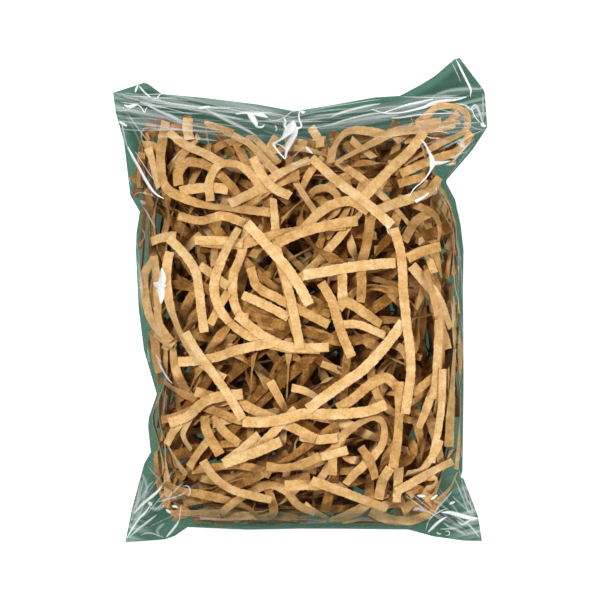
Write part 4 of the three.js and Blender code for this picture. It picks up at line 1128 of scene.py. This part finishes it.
faint_folds = [
    *fan((-84, 93), -25, 40, (4, 14), (8, 30), 16),
    *fan((84, 78), 200, 50, (3, 12), (8, 26), 14),
    *fan((-78.5, -108), 58, 30, (6, 22), (6, 24), 22),
    *fan((81, -108), 128, 32, (6, 22), (6, 24), 22),
    *band((-70, 90), (-2, 84), 16, (12, 40), 26),
    *band((2, 84), (72, 92), 16, (12, 40), 26),
    *band((-73, 22), (-66, -30), 5, (8, 24), 8),
    *band((72, -30), (70, 40), 5, (8, 24), 8),
    *band((48, -101), (-50, -101), 4, (8, 30), 10),
]
# The white along these folds is a painted highlight.
highlight_film = painted_fold_film("painted highlight film", (0.93, 0.96, 0.96), 0.3)
# This dark film is painted shade.
shade_film = painted_fold_film("painted shade film", (0.05, 0.1, 0.06), 0.5)
film_surface = tree_of(film_front, film_back)
add_ridges("shade_band_front", SHADE_BAND, shade_film)
add_ridges("creases_front", HIGHLIGHT_PATCHES + tapered(CREASES), highlight_film)
add_ridges("faint_creases_front", tapered(faint_folds), highlight_film)


# Floor, light and camera
# A plain white table, a soft light from the top left, a weaker one from the right, and the camera straight
# above the bag, as in the photograph.

FRAME_WIDTH = 0.27
CAMERA_HEIGHT = 1.6
SEAM_HEIGHT = 0.014
FLOOR_GAP = 0.0004

bpy.ops.mesh.primitive_plane_add(size=6, location=(0, 0, -FLOOR_GAP))
floor = bpy.context.object
floor.name = "floor"
white = bpy.data.materials.new("white floor")
white.use_nodes = True
nodes, links = white.node_tree.nodes, white.node_tree.links
shader = nodes["Principled BSDF"]
shader.inputs["Roughness"].default_value = 0.6
shader.inputs["Emission Color"].default_value = (1, 1, 1, 1)
path_kind = nodes.new("ShaderNodeLightPath")
glow = nodes.new("ShaderNodeMath")
glow.operation = "MULTIPLY"
glow.inputs[1].default_value = 0.6
links.new(path_kind.outputs["Is Camera Ray"], glow.inputs[0])
links.new(glow.outputs[0], shader.inputs["Emission Strength"])
# To glossy rays the floor shows dark green, a painted dark reflection in the film in place of the lit floor.
floor_or_dark_reflection = nodes.new("ShaderNodeMix")
floor_or_dark_reflection.data_type = "RGBA"
floor_or_dark_reflection.inputs["A"].default_value = (0.85, 0.85, 0.85, 1)
floor_or_dark_reflection.inputs["B"].default_value = (0.1, 0.14, 0.12, 1)
links.new(path_kind.outputs["Is Glossy Ray"], floor_or_dark_reflection.inputs["Factor"])
links.new(floor_or_dark_reflection.outputs["Result"], shader.inputs["Base Color"])
floor.data.materials.append(white)

world = bpy.data.worlds.new("studio")
bpy.context.scene.world = world
world.use_nodes = True
nodes, links = world.node_tree.nodes, world.node_tree.links
nodes["Background"].inputs["Color"].default_value = (1, 1, 1, 1)
ray = nodes.new("ShaderNodeLightPath")
dimmed = nodes.new("ShaderNodeMapRange")
dimmed.inputs["To Min"].default_value = 0.1
dimmed.inputs["To Max"].default_value = 0.03
links.new(ray.outputs["Is Glossy Ray"], dimmed.inputs["Value"])
links.new(dimmed.outputs["Result"], nodes["Background"].inputs["Strength"])


def lamp(name, place, size, power):
    """A square soft light that faces the bag."""
    bpy.ops.object.light_add(type="AREA", location=place)
    light = bpy.context.object
    light.name = name
    light.data.size = size
    light.data.energy = power
    light.rotation_euler = Vector(place).to_track_quat("Z", "Y").to_euler()
    light.visible_glossy = False


lamp("key light", (-0.42, 0.34, 1.12), 0.32, 14.3)
lamp("fill light", (0.75, -0.42, 0.85), 0.6, 11)

bpy.ops.object.camera_add(location=(0, 0, CAMERA_HEIGHT))
camera = bpy.context.object
camera.data.sensor_width = 36
camera.data.lens = camera.data.sensor_width * (CAMERA_HEIGHT - SEAM_HEIGHT) / FRAME_WIDTH
camera.data.clip_end = 20
bpy.context.scene.camera = camera
bpy.context.scene.view_settings.view_transform = "Standard"

bpy.context.view_layer.update()
